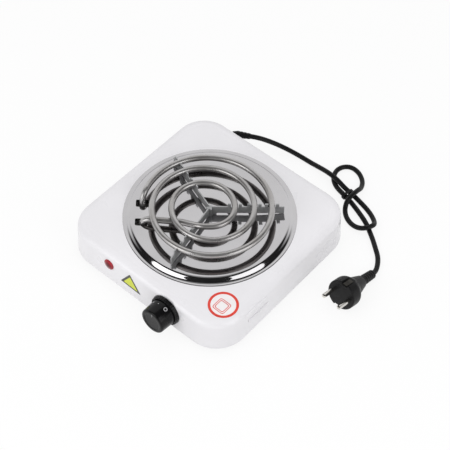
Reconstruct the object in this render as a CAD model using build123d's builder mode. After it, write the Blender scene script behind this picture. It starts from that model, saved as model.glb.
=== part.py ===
"""Single hot plate burner: enamelled cover, chromed reflector, spiral heating coil, knob, cord and plug.

Millimetres. The origin is on the floor under the middle of the cover, +X to the right, -Y to the
front where the knob is, +Z up.
"""

from build123d import *
from math import acos, atan2, cos, degrees, dist, pi, radians, sin, sqrt, tan
import os

os.makedirs("parts", exist_ok=True)

# Cover
COVER_WIDTH = 219.0
COVER_CORNER = 36.0
COVER_HEIGHT = 38.0
WALL_LEAN = 3.9
SHOULDER = 7.0
SHEET = 0.9
OPENING_MARGIN = 1.2

# Base plate, feet and the posts that tie the base plate to the cover
FOOT_HEIGHT = 7.0
BASE_LIFT = 1.0
BASE_SHEET = 0.8
BASE_CLEARANCE = 0.5
FOOT_RADIUS = 9.5
FOOT_TAPER = 1.2
POST_INSET = 23.5
POST_RADIUS = 5.0
SCREW_RADIUS = 2.0
SCREW_HEAD_RADIUS = 3.8
SCREW_HEAD_HEIGHT = 2.4
SCREW_LENGTH = 18.0
SCREW_SEAT = 4.2
HOLE_CLEARANCE = 0.3
VENT_LENGTH = 18.0
VENT_WIDTH = 4.0
VENT_PITCH_X = 26.0
VENT_PITCH_Y = 12.0

# Reflector plate
FLOOR_INSET = 16.0
LIP_WIDTH = 3.9
CROWN_RISE = 3.8
CROWN_WIDTH = 12.2
FLOOR_RISE = 2.0
PLATE_SHEET = 0.6
PLATE_WALL_RUN = 2.9
DISH_RUN = 22.0
SLOT_LENGTH = 14.0
SLOT_WIDTH = 9.4

# Heating coil, drawn in a plane turned about Z
COIL_TURN = 41.0
TUBE_RADIUS = 3.25
COIL_RADIUS = 66.0
COIL_PITCH = 20.2
LEAD_STEP = 3.0
FIRST_STEP = 8.0
HALF_TURNS = 4
INNER_BEND = 25.2
INNER_RUN = 10.0
INNER_DROP_RUN = 20.0
INNER_DROP_SHARE = 0.75
COIL_OFFSET = -1.8
COIL_SHIFT = -2.6
LEG_SPREAD = 24.8
LEG_IN = 0.4
LEG_BEND = 11.0
LOW_RUN_GAP = 3.65
LOW_RUN_BENDS = (16.0, 15.0, 9.0)
LEG_END_DEPTH = 12.0

# Three-armed coil support
ARM_COUNT = 3
ARM_SHEET = 1.2
ARM_TAIL = 11.0
ARM_LIFT = 2.4
ARM_HEIGHT = 12.4
SEAT_HEIGHT = 10.85
ARM_FOOT = 5.0
TOOTH_TOP = 16.8
TOOTH_WIDTH = 3.4
TOOTH_GAP = 0.7
NOTCH_DEPTH = 2.6
SEAT_GAP = 0.3
POST_FLAT = 2.0
STUD_RADIUS = 3.0

# Clamp under the cover
BAR_WIDTH = 11.0
BAR_SHEET = 1.5
BAR_OVERLAP = 7.0
NUT_ACROSS = 10.0
NUT_HEIGHT = 4.5
STUD_SPARE = 1.6
SPACER_RADIUS = 5.0

# Coil legs' bushes, pins and connectors
BRACKET_SHEET = 1.2
BRACKET_LENGTH = 24.0
BRACKET_WIDTH = 42.0
BRACKET_CORNER = 3.0
RIVET_RADIUS = 1.9
RIVET_HEAD_RADIUS = 3.4
RIVET_HEAD = 1.1
BUSH_RADIUS = 5.5
BUSH_FLANGE_RADIUS = 7.3
BUSH_FLANGE = 3.0
BUSH_TOP_GAP = 3.0
BUSH_BELOW = 4.4
COIL_PIN_RADIUS = 1.5
COIL_PIN_LENGTH = 11.0
CONNECTOR_SIDE = 8.0
CONNECTOR_CORNER = 1.0
CONNECTOR_HEIGHT = 9.0
CONNECTOR_DROP = 1.5

# Knob and spindle on the front wall
KNOB_X = 37.4
KNOB_RISE = 20.0
KNOB_FACE = 21.6
KNOB_BASE_RADIUS = 14.9
KNOB_FACE_RADIUS = 14.1
KNOB_BASE_GAP = 0.6
KNOB_WALL = 2.0
KNOB_EDGE = 1.0
KNOB_BOSS_RADIUS = 6.0
KNOB_BORE_DEPTH = 12.5
POINTER_WIDTH = 1.3
POINTER_LENGTH = 6.0
POINTER_DEPTH = 0.5
BEZEL_RADIUS = 17.6
BEZEL_EDGE = 0.8
BEZEL_HEIGHT = 4.2
BEZEL_RECESS = 1.2
BEZEL_BORE = 8.4
GROOVE = 0.6
SPINDLE_RADIUS = 3.0
SPINDLE_FLAT = 1.8
SPINDLE_CLEARANCE = 0.05
SPINDLE_COLLAR_RADIUS = 4.2
SPINDLE_COLLAR = 2.7
SPINDLE_TIP_RADIUS = 1.8
SPINDLE_TIP = 3.1
BUSHING_RADIUS = 4.8
BUSHING_FLANGE_RADIUS = 7.0
BUSHING_FLANGE = 2.5
BUSHING_TAIL_RADIUS = 4.0
BUSHING_TAIL = 3.0
BUSHING_PROUD = 2.6
BUSHING_NUT_ACROSS = 13.0
BUSHING_NUT_HEIGHT = 2.2
END_PLAY = 0.3

# Thermostat behind the knob, its stack of washers and leaves to the left of the spindle
FRAME_SHEET = 1.2
FRAME_LENGTH = 36.0
FRAME_HEIGHT = 15.0
FRAME_CORNER = 3.0
STACK_OFFSET = 18.0
WASHER_RADIUS = 5.0
STACK_RIVET_RADIUS = 2.0
STACK_HEAD_RADIUS = 3.5
STACK_HEAD = 1.2
LEAF_WIDTH = 7.0
LEAF_END = 34.0
FIXED_CONTACT_SHEET = 1.0
SPRING_SHEET = 0.4
SPRING_GAP = 0.4
BIMETAL_SHEET = 1.0
BIMETAL_REACH = 8.0
WASHER_LOW = 3.0
WASHER_END = 1.5
WASHER_FIRST = 4.0
RECEPTACLE_LENGTH = 9.0
RECEPTACLE_HEIGHT = 8.4
RECEPTACLE_DEPTH = 3.2
RECEPTACLE_GRIP = 6.0

# Indicator lamp on the front wall
LAMP_X = -42.2
LAMP_RISE = 24.0
LENS_RADIUS = 6.2
LENS_RISE = 2.4
LENS_EDGE = 0.8
LAMP_BODY_RADIUS = 4.4
LAMP_BODY_LENGTH = 26.0
LAMP_CLIP_RADIUS = 6.0
LAMP_CLIP = 1.6
LAMP_WIRE_SPREAD = 4.8

# Terminal block and earth
BLOCK_SHIFT = 7.2
BLOCK_INSET = 19.5
BLOCK_LENGTH = 36.0
BLOCK_DEPTH = 16.0
BLOCK_HEIGHT = 16.0
BLOCK_CORNER = 1.5
BLOCK_WAYS = 3
BLOCK_PITCH = 12.0
WIRE_LEVEL = 7.2
BLOCK_SCREW_RADIUS = 1.8
BLOCK_SCREW_HEAD_RADIUS = 2.9
BLOCK_SCREW_HEAD = 1.6
BLOCK_SCREW_DEPTH = 6.0
EARTH_INSET = 25.5
EARTH_SETBACK = 50.0
EARTH_TAG_RADIUS = 5.0
EARTH_TAG_SHEET = 0.8
EARTH_BARREL = 4.0
EARTH_BARREL_LENGTH = 7.0
EARTH_SCREW_LENGTH = 4.0
WIRE_RADIUS = 1.2
LIVE_LEAD = 18.0
LIVE_MIDDLE = (-32.0, 4.0, 13.0)
LIVE_FRONT = (-25.0, -58.0, 16.0)
LIVE_TAB_RUN = 18.0
NEUTRAL_LEAD = 24.0
NEUTRAL_RUN = 36.0
SWITCHED_TAB_RUN = 11.0
SWITCHED_SIDE_RUN = 17.0
SWITCHED_SWING = (24.0, -12.0, 1.0)
EARTH_LEAD = 8.0
EARTH_RUN = 9.0
LAMP_LEADS = (8.0, 4.0)
LAMP_RUNS = (4.0, 16.0)

# Cord gland on the back wall
CORD_RADIUS = 2.75
CORD_LEAD_OUT = 7.5
CORD_LEAD_IN = 5.5
GLAND_MARGIN = 0.1
GLAND_RISE = 16.0
GLAND_NECK_RADIUS = 4.2
GLAND_FLANGE_RADIUS = 6.2
GLAND_FLANGE = 2.2
GLAND_INNER_FLANGE = 2.0
GLAND_SLACK = 0.1
BOOT_LEAD = 1.6
BOOT_BEND = 9.0
BOOT_TURN = 62.0
BOOT_TAIL = 13.0
BOOT_BASE_RADIUS = 4.6
BOOT_TIP_RADIUS = 3.05
BOOT_RIBS = 6
BOOT_RIB = 0.3

# Plug, lying on the floor on its rim
PLUG_X = 155.24
PLUG_Y = 25.19
PLUG_HEADING = 86.5
PLUG_TILT = 15.5
PLUG_RADIUS = 16.6
PLUG_DISC = 13.0
PLUG_EDGE = 1.2
PLUG_SHOULDER = 5.5
PLUG_NECK_RADIUS = 11.4
PLUG_NECK = 16.5
PLUG_NECK_END_RADIUS = 6.6
PLUG_BOOT_LENGTH = 19.0
PLUG_BOOT_BASE_RADIUS = 5.4
PLUG_BOOT_TIP_RADIUS = 4.6
PLUG_BOOT_RIBS = 6
PLUG_BOOT_RIB = 0.55
PLUG_PIN_RADIUS = 2.4
PLUG_PIN_LENGTH = 17.0
PLUG_PIN_SPACING = 20.0
PLUG_PIN_SEAT = 10.0
PLUG_PIN_TIP = 1.2
PLUG_FIT = 0.05
CLIP_WIDTH = 5.0
CLIP_SHEET = 1.0
CLIP_LENGTH = 11.0
RECESS_WIDTH = 8.0
RECESS_DEPTH = 3.2

# Cord tie round the two strands of the hank
TIE_CENTRE = (73.0, 145.8, 4.26)
TIE_HEADING = -11.0
TIE_SHEET = 0.8
TIE_WIDTH = 3.0
TIE_SPAN = 14.2
TIE_OPENING = 6.4

# Levels and places worked out from the sizes above
LEAN = radians(WALL_LEAN)
TOP_Z = FOOT_HEIGHT + COVER_HEIGHT
TOP_UNDER = TOP_Z - SHEET
BASE_UNDER = FOOT_HEIGHT + BASE_LIFT
BASE_TOP = BASE_UNDER + BASE_SHEET
CROWN_Z = TOP_Z + CROWN_RISE
PLATE_Z = TOP_Z + FLOOR_RISE
PLATE_UNDER = PLATE_Z - PLATE_SHEET
COIL_Z = PLATE_Z + SEAT_HEIGHT + SEAT_GAP + TUBE_RADIUS
LOW_RUN_Z = PLATE_Z + LOW_RUN_GAP + TUBE_RADIUS
BAR_UNDER = TOP_UNDER - BAR_SHEET
BRACKET_UNDER = BAR_UNDER - BRACKET_SHEET
LEG_END_Z = TOP_Z - LEG_END_DEPTH
POST_PLACE = COVER_WIDTH / 2 - POST_INSET
LEG_PLACE = COIL_OFFSET - COIL_RADIUS - LEAD_STEP + LEG_IN
OPENING_RADIUS = sqrt(LEG_PLACE**2 + (LEG_SPREAD / 2) ** 2) + BUSH_FLANGE_RADIUS + OPENING_MARGIN
ARM_REACH = COIL_RADIUS + ARM_TAIL
GLAND_X = -(COVER_WIDTH / 2 - COVER_CORNER - GLAND_FLANGE_RADIUS - GLAND_MARGIN)
BLOCK_X = GLAND_X + BLOCK_SHIFT
BLOCK_BACK = COVER_WIDTH / 2 - BLOCK_INSET
EARTH_X = -(COVER_WIDTH / 2 - EARTH_INSET)
EARTH_Y = BLOCK_BACK - EARTH_SETBACK


def front_plane(x, rise):
    """The front wall's outer face at x, rise up the wall, with z pointing out of the wall."""
    spot = (x, -COVER_WIDTH / 2 + rise * sin(LEAN), FOOT_HEIGHT + rise * cos(LEAN))
    return Plane(origin=spot, x_dir=(1, 0, 0), z_dir=(0, -cos(LEAN), sin(LEAN)))


def back_plane(x, rise):
    """The back wall's outer face at x, rise up the wall, with z pointing out of the wall."""
    spot = (x, COVER_WIDTH / 2 - rise * sin(LEAN), FOOT_HEIGHT + rise * cos(LEAN))
    return Plane(origin=spot, x_dir=(1, 0, 0), z_dir=(0, cos(LEAN), sin(LEAN)))


COIL_PLANE = Plane(
    origin=(0, 0, 0),
    x_dir=(cos(radians(COIL_TURN)), sin(radians(COIL_TURN)), 0),
    z_dir=(0, 0, 1),
)
KNOB_PLANE = front_plane(KNOB_X, KNOB_RISE)
LAMP_PLANE = front_plane(LAMP_X, LAMP_RISE)
GLAND_PLANE = back_plane(GLAND_X, GLAND_RISE)


def save(part, name):
    """Label a finished piece and write it under its own name."""
    part.label = name
    export_step(part, f"parts/{name}.step")


def turned(plane, outline):
    """A closed outline of (radius, height) points, turned about the plane's z axis."""
    with BuildPart() as piece:
        with BuildSketch(Plane(plane.origin, x_dir=plane.x_dir, z_dir=plane.y_dir * -1)):
            with BuildLine():
                Polyline(*outline, close=True)
            make_face()
        revolve(axis=Axis(plane.origin, plane.z_dir))
    return piece.part


def corner_radii(route):
    """The largest arc that each corner's two runs allow: 0.45 of the shorter run over tan(turn / 2)."""
    radii = []
    for before, here, after in zip(route, route[1:], route[2:]):
        run_in = Vector(*here) - Vector(*before)
        run_out = Vector(*after) - Vector(*here)
        turn = radians(run_in.get_angle(run_out))
        radii.append(0.45 * min(run_in.length, run_out.length) / tan(turn / 2))
    return radii


def tube(route, radii, radius):
    """A round tube along straight runs joined by tangent arcs."""
    with BuildPart() as piece:
        with BuildLine() as path:
            FilletPolyline(*route, radius=radii)
        line = path.wire()
        with BuildSketch(Plane(origin=line @ 0, z_dir=line % 0)):
            Circle(radius)
        sweep(path=line)
    return piece.part, line


def least_gap(line, radius):
    """The least clear distance of a tube to itself, measured between points along its middle."""
    steps = int(line.length / 1.5)
    spots = [tuple(line.position_at(i / steps)) for i in range(steps + 1)]
    apart = int(6 * radius / 1.5) + 1
    nearest = min(
        dist(spots[i], spots[j])
        for i in range(len(spots))
        for j in range(i + apart, len(spots))
    )
    return nearest - 2 * radius


def housing_form(width, corner, height, shoulder):
    """A square block with round corners, leaning walls and a rounded shoulder round its top."""
    with BuildPart() as form:
        with BuildSketch(Plane.XY.offset(FOOT_HEIGHT)):
            RectangleRounded(width, width, corner)
        extrude(amount=height, taper=WALL_LEAN)
        fillet(form.faces().sort_by(Axis.Z)[-1].edges(), shoulder)
    return form.part


# Cover: a pressed shell with its opening for the coil and the holes for knob, lamp and cord
cover_outside = housing_form(COVER_WIDTH, COVER_CORNER, COVER_HEIGHT, SHOULDER)
cover_inside = housing_form(
    COVER_WIDTH - 2 * SHEET, COVER_CORNER - SHEET, COVER_HEIGHT - SHEET, SHOULDER - SHEET
)
with BuildPart() as top_cover:
    add(cover_outside)
    add(cover_inside, mode=Mode.SUBTRACT)
    with BuildSketch(Plane.XY.offset(TOP_Z)):
        Circle(OPENING_RADIUS)
    extrude(amount=SHOULDER, both=True, mode=Mode.SUBTRACT)
    for wall_plane, hole_radius in (
        (KNOB_PLANE, BUSHING_RADIUS + HOLE_CLEARANCE),
        (LAMP_PLANE, LAMP_BODY_RADIUS + HOLE_CLEARANCE),
        (GLAND_PLANE, GLAND_NECK_RADIUS + HOLE_CLEARANCE),
    ):
        with BuildSketch(wall_plane):
            Circle(hole_radius)
        extrude(amount=2 * SHEET, both=True, mode=Mode.SUBTRACT)
save(top_cover.part, "top_cover")

# Base plate with its vents, foot holes and earth hole
base_width = COVER_WIDTH - 2 * (SHEET + BASE_CLEARANCE + (BASE_LIFT + BASE_SHEET) * tan(LEAN))
with BuildPart() as base_plate:
    with BuildSketch(Plane.XY.offset(BASE_UNDER)):
        RectangleRounded(base_width, base_width, COVER_CORNER - SHEET - BASE_CLEARANCE)
        with GridLocations(2 * POST_PLACE, 2 * POST_PLACE, 2, 2):
            Circle(SCREW_RADIUS + HOLE_CLEARANCE, mode=Mode.SUBTRACT)
        with Locations((EARTH_X, EARTH_Y)):
            Circle(SCREW_RADIUS + HOLE_CLEARANCE, mode=Mode.SUBTRACT)
        with GridLocations(VENT_PITCH_X, VENT_PITCH_Y, 4, 4):
            SlotOverall(VENT_LENGTH, VENT_WIDTH, mode=Mode.SUBTRACT)
    extrude(amount=BASE_SHEET)
save(base_plate.part, "base_plate")

# Posts from the base plate up to the underside of the cover
with BuildPart() as corner_posts:
    with BuildSketch(Plane.XY.offset(BASE_TOP)):
        with GridLocations(2 * POST_PLACE, 2 * POST_PLACE, 2, 2):
            Circle(POST_RADIUS)
    extrude(amount=TOP_UNDER - BASE_TOP)
    with BuildSketch(Plane.XY.offset(BASE_TOP)):
        with GridLocations(2 * POST_PLACE, 2 * POST_PLACE, 2, 2):
            Circle(SCREW_RADIUS + HOLE_CLEARANCE / 2)
    extrude(amount=SCREW_SEAT + SCREW_LENGTH + HOLE_CLEARANCE - BASE_TOP, mode=Mode.SUBTRACT)
save(corner_posts.part, "corner_posts")

# Rubber feet with a countersunk seat for the screw that holds each one
for side, across in (("left", -POST_PLACE), ("right", POST_PLACE)):
    for end, along in (("front", -POST_PLACE), ("back", POST_PLACE)):
        foot = turned(
            Plane(origin=(across, along, 0)),
            (
                (SCREW_HEAD_RADIUS + HOLE_CLEARANCE, 0),
                (FOOT_RADIUS - FOOT_TAPER, 0),
                (FOOT_RADIUS, FOOT_TAPER),
                (FOOT_RADIUS - FOOT_TAPER, BASE_UNDER),
                (SCREW_RADIUS + HOLE_CLEARANCE, BASE_UNDER),
                (SCREW_RADIUS + HOLE_CLEARANCE, SCREW_SEAT),
                (SCREW_HEAD_RADIUS + HOLE_CLEARANCE, SCREW_SEAT),
            ),
        )
        save(foot, f"foot_{end}_{side}")

with BuildPart() as foot_screws:
    for head_radius, low, high in (
        (SCREW_HEAD_RADIUS, SCREW_SEAT - SCREW_HEAD_HEIGHT, SCREW_SEAT),
        (SCREW_RADIUS, SCREW_SEAT, SCREW_SEAT + SCREW_LENGTH),
    ):
        with BuildSketch(Plane.XY.offset(low)):
            with GridLocations(2 * POST_PLACE, 2 * POST_PLACE, 2, 2):
                Circle(head_radius)
        extrude(amount=high - low)
save(foot_screws.part, "foot_screws")

# Chromed reflector: a lip on the cover, a slope up to a broad crown and a shallow dish with two slots
floor_edge = COIL_RADIUS - FLOOR_INSET
crown_inner = floor_edge + DISH_RUN
crown_outer = crown_inner + CROWN_WIDTH
wall_foot = crown_outer + PLATE_WALL_RUN
plate_line = (
    (STUD_RADIUS + HOLE_CLEARANCE, PLATE_Z - PLATE_SHEET / 2),
    (floor_edge, PLATE_Z - PLATE_SHEET / 2),
    (crown_inner, CROWN_Z - PLATE_SHEET / 2),
    (crown_outer, CROWN_Z - PLATE_SHEET / 2),
    (wall_foot, TOP_Z + PLATE_SHEET / 2),
    (wall_foot + LIP_WIDTH, TOP_Z + PLATE_SHEET / 2),
)
first_leg = (LEG_PLACE, LEG_SPREAD / 2)
last_leg = (LEG_PLACE, -LEG_SPREAD / 2)
with BuildPart() as reflector_plate:
    with BuildSketch(Plane.XZ):
        with BuildLine():
            FilletPolyline(*plate_line, radius=corner_radii(plate_line))
        trace(line_width=PLATE_SHEET)
    revolve(axis=Axis.Z)
    with BuildSketch(COIL_PLANE.offset(PLATE_Z)):
        with Locations(first_leg, last_leg):
            Rectangle(SLOT_LENGTH, SLOT_WIDTH)
    extrude(amount=CROWN_RISE, both=True, mode=Mode.SUBTRACT)
save(reflector_plate.part, "reflector_plate")

# Heating coil: one tube, half turns whose middles step to and fro, both ends led down through the slots
reaches = [COIL_RADIUS + LEAD_STEP, COIL_RADIUS, COIL_RADIUS - FIRST_STEP]
for half_turn in range(1, HALF_TURNS):
    reaches.append(reaches[-1] - COIL_PITCH / 2)
half_turns = []
side = -1
for reach, next_reach in zip(reaches, reaches[1:]):
    turn_radius = (reach + next_reach) / 2
    half_turns.append((COIL_OFFSET + side * (reach - turn_radius), turn_radius))
    side = -side
lead_middle, lead_radius = half_turns[0]
leg_across = LEG_PLACE - lead_middle
leg_along = LEG_SPREAD / 2 - COIL_SHIFT
leg_distance = sqrt(leg_across**2 + leg_along**2)
start_angle = atan2(leg_along, leg_across) - acos(lead_radius / leg_distance)
spiral_start = (
    lead_middle + lead_radius * cos(start_angle),
    COIL_SHIFT + lead_radius * sin(start_angle),
)
inner_middle = COIL_OFFSET + reaches[-1] - INNER_BEND
inner_start = (inner_middle, COIL_SHIFT - INNER_BEND)
drop_start = (inner_middle - INNER_RUN, COIL_SHIFT - INNER_BEND)
drop_end = (
    drop_start[0] - INNER_DROP_RUN,
    drop_start[1] + INNER_DROP_SHARE * (last_leg[1] - drop_start[1]),
)
with BuildPart() as heating_coil:
    with BuildLine(COIL_PLANE) as coil_line:
        FilletPolyline(
            (*first_leg, LEG_END_Z), (*first_leg, COIL_Z), (*spiral_start, COIL_Z), radius=LEG_BEND
        )
        CenterArc(
            (lead_middle, COIL_SHIFT, COIL_Z), lead_radius, degrees(start_angle), -degrees(start_angle)
        )
        turn_start = 0
        for middle, turn_radius in half_turns[1:]:
            CenterArc((middle, COIL_SHIFT, COIL_Z), turn_radius, turn_start, -180)
            turn_start = 180 - turn_start
        CenterArc((inner_middle, COIL_SHIFT, COIL_Z), INNER_BEND, 0, -90)
        FilletPolyline(
            (*inner_start, COIL_Z),
            (*drop_start, COIL_Z),
            (*drop_end, LOW_RUN_Z),
            (*last_leg, LOW_RUN_Z),
            (*last_leg, LEG_END_Z),
            radius=LOW_RUN_BENDS,
        )
    coil_wire = coil_line.wire()
    with BuildSketch(Plane(origin=coil_wire @ 0, z_dir=coil_wire % 0)):
        Circle(TUBE_RADIUS)
    sweep(path=coil_wire)
save(heating_coil.part, "heating_coil")
coil_share = heating_coil.part.volume / (pi * TUBE_RADIUS**2 * coil_wire.length)
print("heating coil length", round(coil_wire.length, 1), "volume share", round(coil_share, 4))
print("heating coil least gap", round(least_gap(coil_wire, TUBE_RADIUS), 2))


def pass_radius(half_turn, angle):
    """How far out the coil's half turn crosses a ray at an angle in the coil's plane."""
    middle, turn_radius = half_turns[half_turn]
    along = middle * cos(angle) + COIL_SHIFT * sin(angle)
    across = middle * sin(angle) - COIL_SHIFT * cos(angle)
    return along + sqrt(turn_radius**2 - across**2)


# Support arms: upright strips with a foot at each end, a seat for each turn and a tooth either side of it
ARM_PASSES = ((0, 2, 4), (0, 2, 4), (1, 3))
DROP_ARM = 2
drop_angle = 2 * pi * DROP_ARM / ARM_COUNT
arm_slope = tan(drop_angle)
drop_slope = (drop_end[1] - drop_start[1]) / (drop_end[0] - drop_start[0])
crossing_u = (drop_start[1] - drop_slope * drop_start[0]) / (arm_slope - drop_slope)
drop_crossing = crossing_u / cos(drop_angle)
for number, passes in enumerate(ARM_PASSES):
    angle = 2 * pi * number / ARM_COUNT
    heading = radians(COIL_TURN) + angle
    arm_plane = Plane(
        origin=(0, 0, PLATE_Z),
        x_dir=(cos(heading), sin(heading), 0),
        z_dir=(sin(heading), -cos(heading), 0),
    )
    tooth_shift = TUBE_RADIUS + TOOTH_GAP + TOOTH_WIDTH / 2
    with BuildPart() as support_arm:
        with BuildSketch(arm_plane):
            with Locations((POST_FLAT, ARM_LIFT)):
                Rectangle(ARM_REACH - POST_FLAT, ARM_HEIGHT - ARM_LIFT, align=(Align.MIN, Align.MIN))
            with Locations((POST_FLAT, 0)):
                Rectangle(ARM_FOOT, ARM_HEIGHT, align=(Align.MIN, Align.MIN))
            with Locations((ARM_REACH, CROWN_Z - PLATE_Z)):
                Rectangle(ARM_FOOT, ARM_LIFT, align=(Align.MAX, Align.MIN))
            crossings = [pass_radius(half_turn, angle) for half_turn in passes]
            for crossing in crossings:
                with Locations((crossing - tooth_shift, ARM_LIFT), (crossing + tooth_shift, ARM_LIFT)):
                    Rectangle(TOOTH_WIDTH, TOOTH_TOP - ARM_LIFT, align=(Align.CENTER, Align.MIN))
            seats = [(crossing, SEAT_HEIGHT) for crossing in crossings]
            if number == DROP_ARM:
                seats.append((drop_crossing, SEAT_HEIGHT - NOTCH_DEPTH))
            with Locations(*seats):
                Rectangle(
                    2 * (TUBE_RADIUS + TOOTH_GAP),
                    TOOTH_TOP,
                    align=(Align.CENTER, Align.MIN),
                    mode=Mode.SUBTRACT,
                )
        extrude(amount=ARM_SHEET / 2, both=True)
    save(support_arm.part, f"support_arm_{number + 1}")

# Centre post: a three-sided head that the arms butt against, and a stud down to the clamp bar
stud_end = BAR_UNDER - NUT_HEIGHT - STUD_SPARE
with BuildPart() as support_post:
    with BuildSketch(COIL_PLANE.offset(PLATE_Z)):
        RegularPolygon(2 * POST_FLAT, ARM_COUNT, rotation=180 / ARM_COUNT)
    extrude(amount=SEAT_HEIGHT)
    with BuildSketch(COIL_PLANE.offset(stud_end)):
        Circle(STUD_RADIUS)
    extrude(amount=PLATE_Z - stud_end)
save(support_post.part, "support_post")

with BuildPart() as post_spacer:
    with BuildSketch(COIL_PLANE.offset(TOP_UNDER)):
        Circle(SPACER_RADIUS)
        Circle(STUD_RADIUS + HOLE_CLEARANCE, mode=Mode.SUBTRACT)
    extrude(amount=PLATE_UNDER - TOP_UNDER)
save(post_spacer.part, "post_spacer")

with BuildPart() as post_nut:
    with BuildSketch(COIL_PLANE.offset(BAR_UNDER - NUT_HEIGHT)):
        RegularPolygon(NUT_ACROSS / 2, 6, major_radius=False)
        Circle(STUD_RADIUS + HOLE_CLEARANCE / 2, mode=Mode.SUBTRACT)
    extrude(amount=NUT_HEIGHT)
save(post_nut.part, "post_nut")

# Clamp bar across the opening, under the cover, and the bracket that holds the coil's bushes
rivet_place = LEG_PLACE + BRACKET_LENGTH / 4
with BuildPart() as clamp_bar:
    with BuildSketch(COIL_PLANE.offset(BAR_UNDER)):
        Rectangle(2 * (OPENING_RADIUS + BAR_OVERLAP), BAR_WIDTH)
        Circle(STUD_RADIUS + HOLE_CLEARANCE, mode=Mode.SUBTRACT)
        with Locations((rivet_place, 0)):
            Circle(RIVET_RADIUS + HOLE_CLEARANCE / 2, mode=Mode.SUBTRACT)
    extrude(amount=BAR_SHEET)
save(clamp_bar.part, "clamp_bar")

with BuildPart() as leg_bracket:
    with BuildSketch(COIL_PLANE.offset(BRACKET_UNDER)):
        with Locations((LEG_PLACE, 0)):
            RectangleRounded(BRACKET_LENGTH, BRACKET_WIDTH, BRACKET_CORNER)
        with Locations(first_leg, last_leg):
            Circle(BUSH_RADIUS + HOLE_CLEARANCE, mode=Mode.SUBTRACT)
        with Locations((rivet_place, 0)):
            Circle(RIVET_RADIUS + HOLE_CLEARANCE / 2, mode=Mode.SUBTRACT)
    extrude(amount=BRACKET_SHEET)
save(leg_bracket.part, "leg_bracket")

rivet_plane = Plane(origin=COIL_PLANE.from_local_coords((rivet_place, 0, 0)))
bracket_rivet = turned(
    rivet_plane,
    (
        (0, BRACKET_UNDER - RIVET_HEAD),
        (RIVET_HEAD_RADIUS, BRACKET_UNDER - RIVET_HEAD),
        (RIVET_HEAD_RADIUS, BRACKET_UNDER),
        (RIVET_RADIUS, BRACKET_UNDER),
        (RIVET_RADIUS, TOP_UNDER),
        (RIVET_HEAD_RADIUS, TOP_UNDER),
        (RIVET_HEAD_RADIUS, TOP_UNDER + RIVET_HEAD),
        (0, TOP_UNDER + RIVET_HEAD),
    ),
)
save(bracket_rivet, "bracket_rivet")

# Ceramic bushes, terminal pins and connectors on the coil's two legs
connector_top = LEG_END_Z - CONNECTOR_DROP
connector_low = connector_top - CONNECTOR_HEIGHT
connector_level = connector_low + CONNECTOR_HEIGHT / 2
connector_spots = []
for number, leg in enumerate((first_leg, last_leg), start=1):
    leg_spot = COIL_PLANE.from_local_coords((*leg, 0))
    leg_plane = Plane(origin=leg_spot)
    connector_spots.append(leg_spot)
    bore = TUBE_RADIUS + HOLE_CLEARANCE
    bush = turned(
        leg_plane,
        (
            (bore, BRACKET_UNDER - BUSH_FLANGE - BUSH_BELOW),
            (BUSH_RADIUS, BRACKET_UNDER - BUSH_FLANGE - BUSH_BELOW),
            (BUSH_RADIUS, BRACKET_UNDER - BUSH_FLANGE),
            (BUSH_FLANGE_RADIUS, BRACKET_UNDER - BUSH_FLANGE),
            (BUSH_FLANGE_RADIUS, BRACKET_UNDER),
            (BUSH_RADIUS, BRACKET_UNDER),
            (BUSH_RADIUS, PLATE_UNDER - BUSH_TOP_GAP),
            (bore, PLATE_UNDER - BUSH_TOP_GAP),
        ),
    )
    save(bush, f"coil_bush_{number}")

leg_spots = [(spot.X, spot.Y) for spot in connector_spots]
with BuildPart() as coil_pins:
    with BuildSketch(Plane.XY.offset(LEG_END_Z)):
        with Locations(*leg_spots):
            Circle(COIL_PIN_RADIUS)
    extrude(amount=-COIL_PIN_LENGTH)
save(coil_pins.part, "coil_pins")

with BuildPart() as coil_connectors:
    with BuildSketch(Plane.XY.offset(connector_low)):
        with Locations(*leg_spots):
            RectangleRounded(CONNECTOR_SIDE, CONNECTOR_SIDE, CONNECTOR_CORNER)
            Circle(COIL_PIN_RADIUS + HOLE_CLEARANCE / 2, mode=Mode.SUBTRACT)
    extrude(amount=CONNECTOR_HEIGHT)
save(coil_connectors.part, "coil_connectors")

# Knob, its ring, and the spindle that turns with it
bore_end = BEZEL_HEIGHT - BEZEL_RECESS + KNOB_BASE_GAP + KNOB_BORE_DEPTH
knob_base = BEZEL_HEIGHT - BEZEL_RECESS + KNOB_BASE_GAP
spindle_end = bore_end - END_PLAY
knob_bore = SPINDLE_RADIUS + SPINDLE_CLEARANCE
knob_roof = KNOB_FACE - KNOB_WALL
knob_form = turned(
    KNOB_PLANE,
    (
        (0, KNOB_FACE),
        (KNOB_FACE_RADIUS - KNOB_EDGE, KNOB_FACE),
        (KNOB_FACE_RADIUS, KNOB_FACE - KNOB_EDGE),
        (KNOB_BASE_RADIUS, knob_base),
        (KNOB_BASE_RADIUS - KNOB_WALL, knob_base),
        (KNOB_FACE_RADIUS - KNOB_WALL, knob_roof),
        (KNOB_BOSS_RADIUS, knob_roof),
        (KNOB_BOSS_RADIUS, knob_base),
        (knob_bore, knob_base),
        (knob_bore, bore_end),
        (0, bore_end),
    ),
)
flat_start = BUSHING_PROUD + BUSHING_NUT_HEIGHT + END_PLAY
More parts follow.
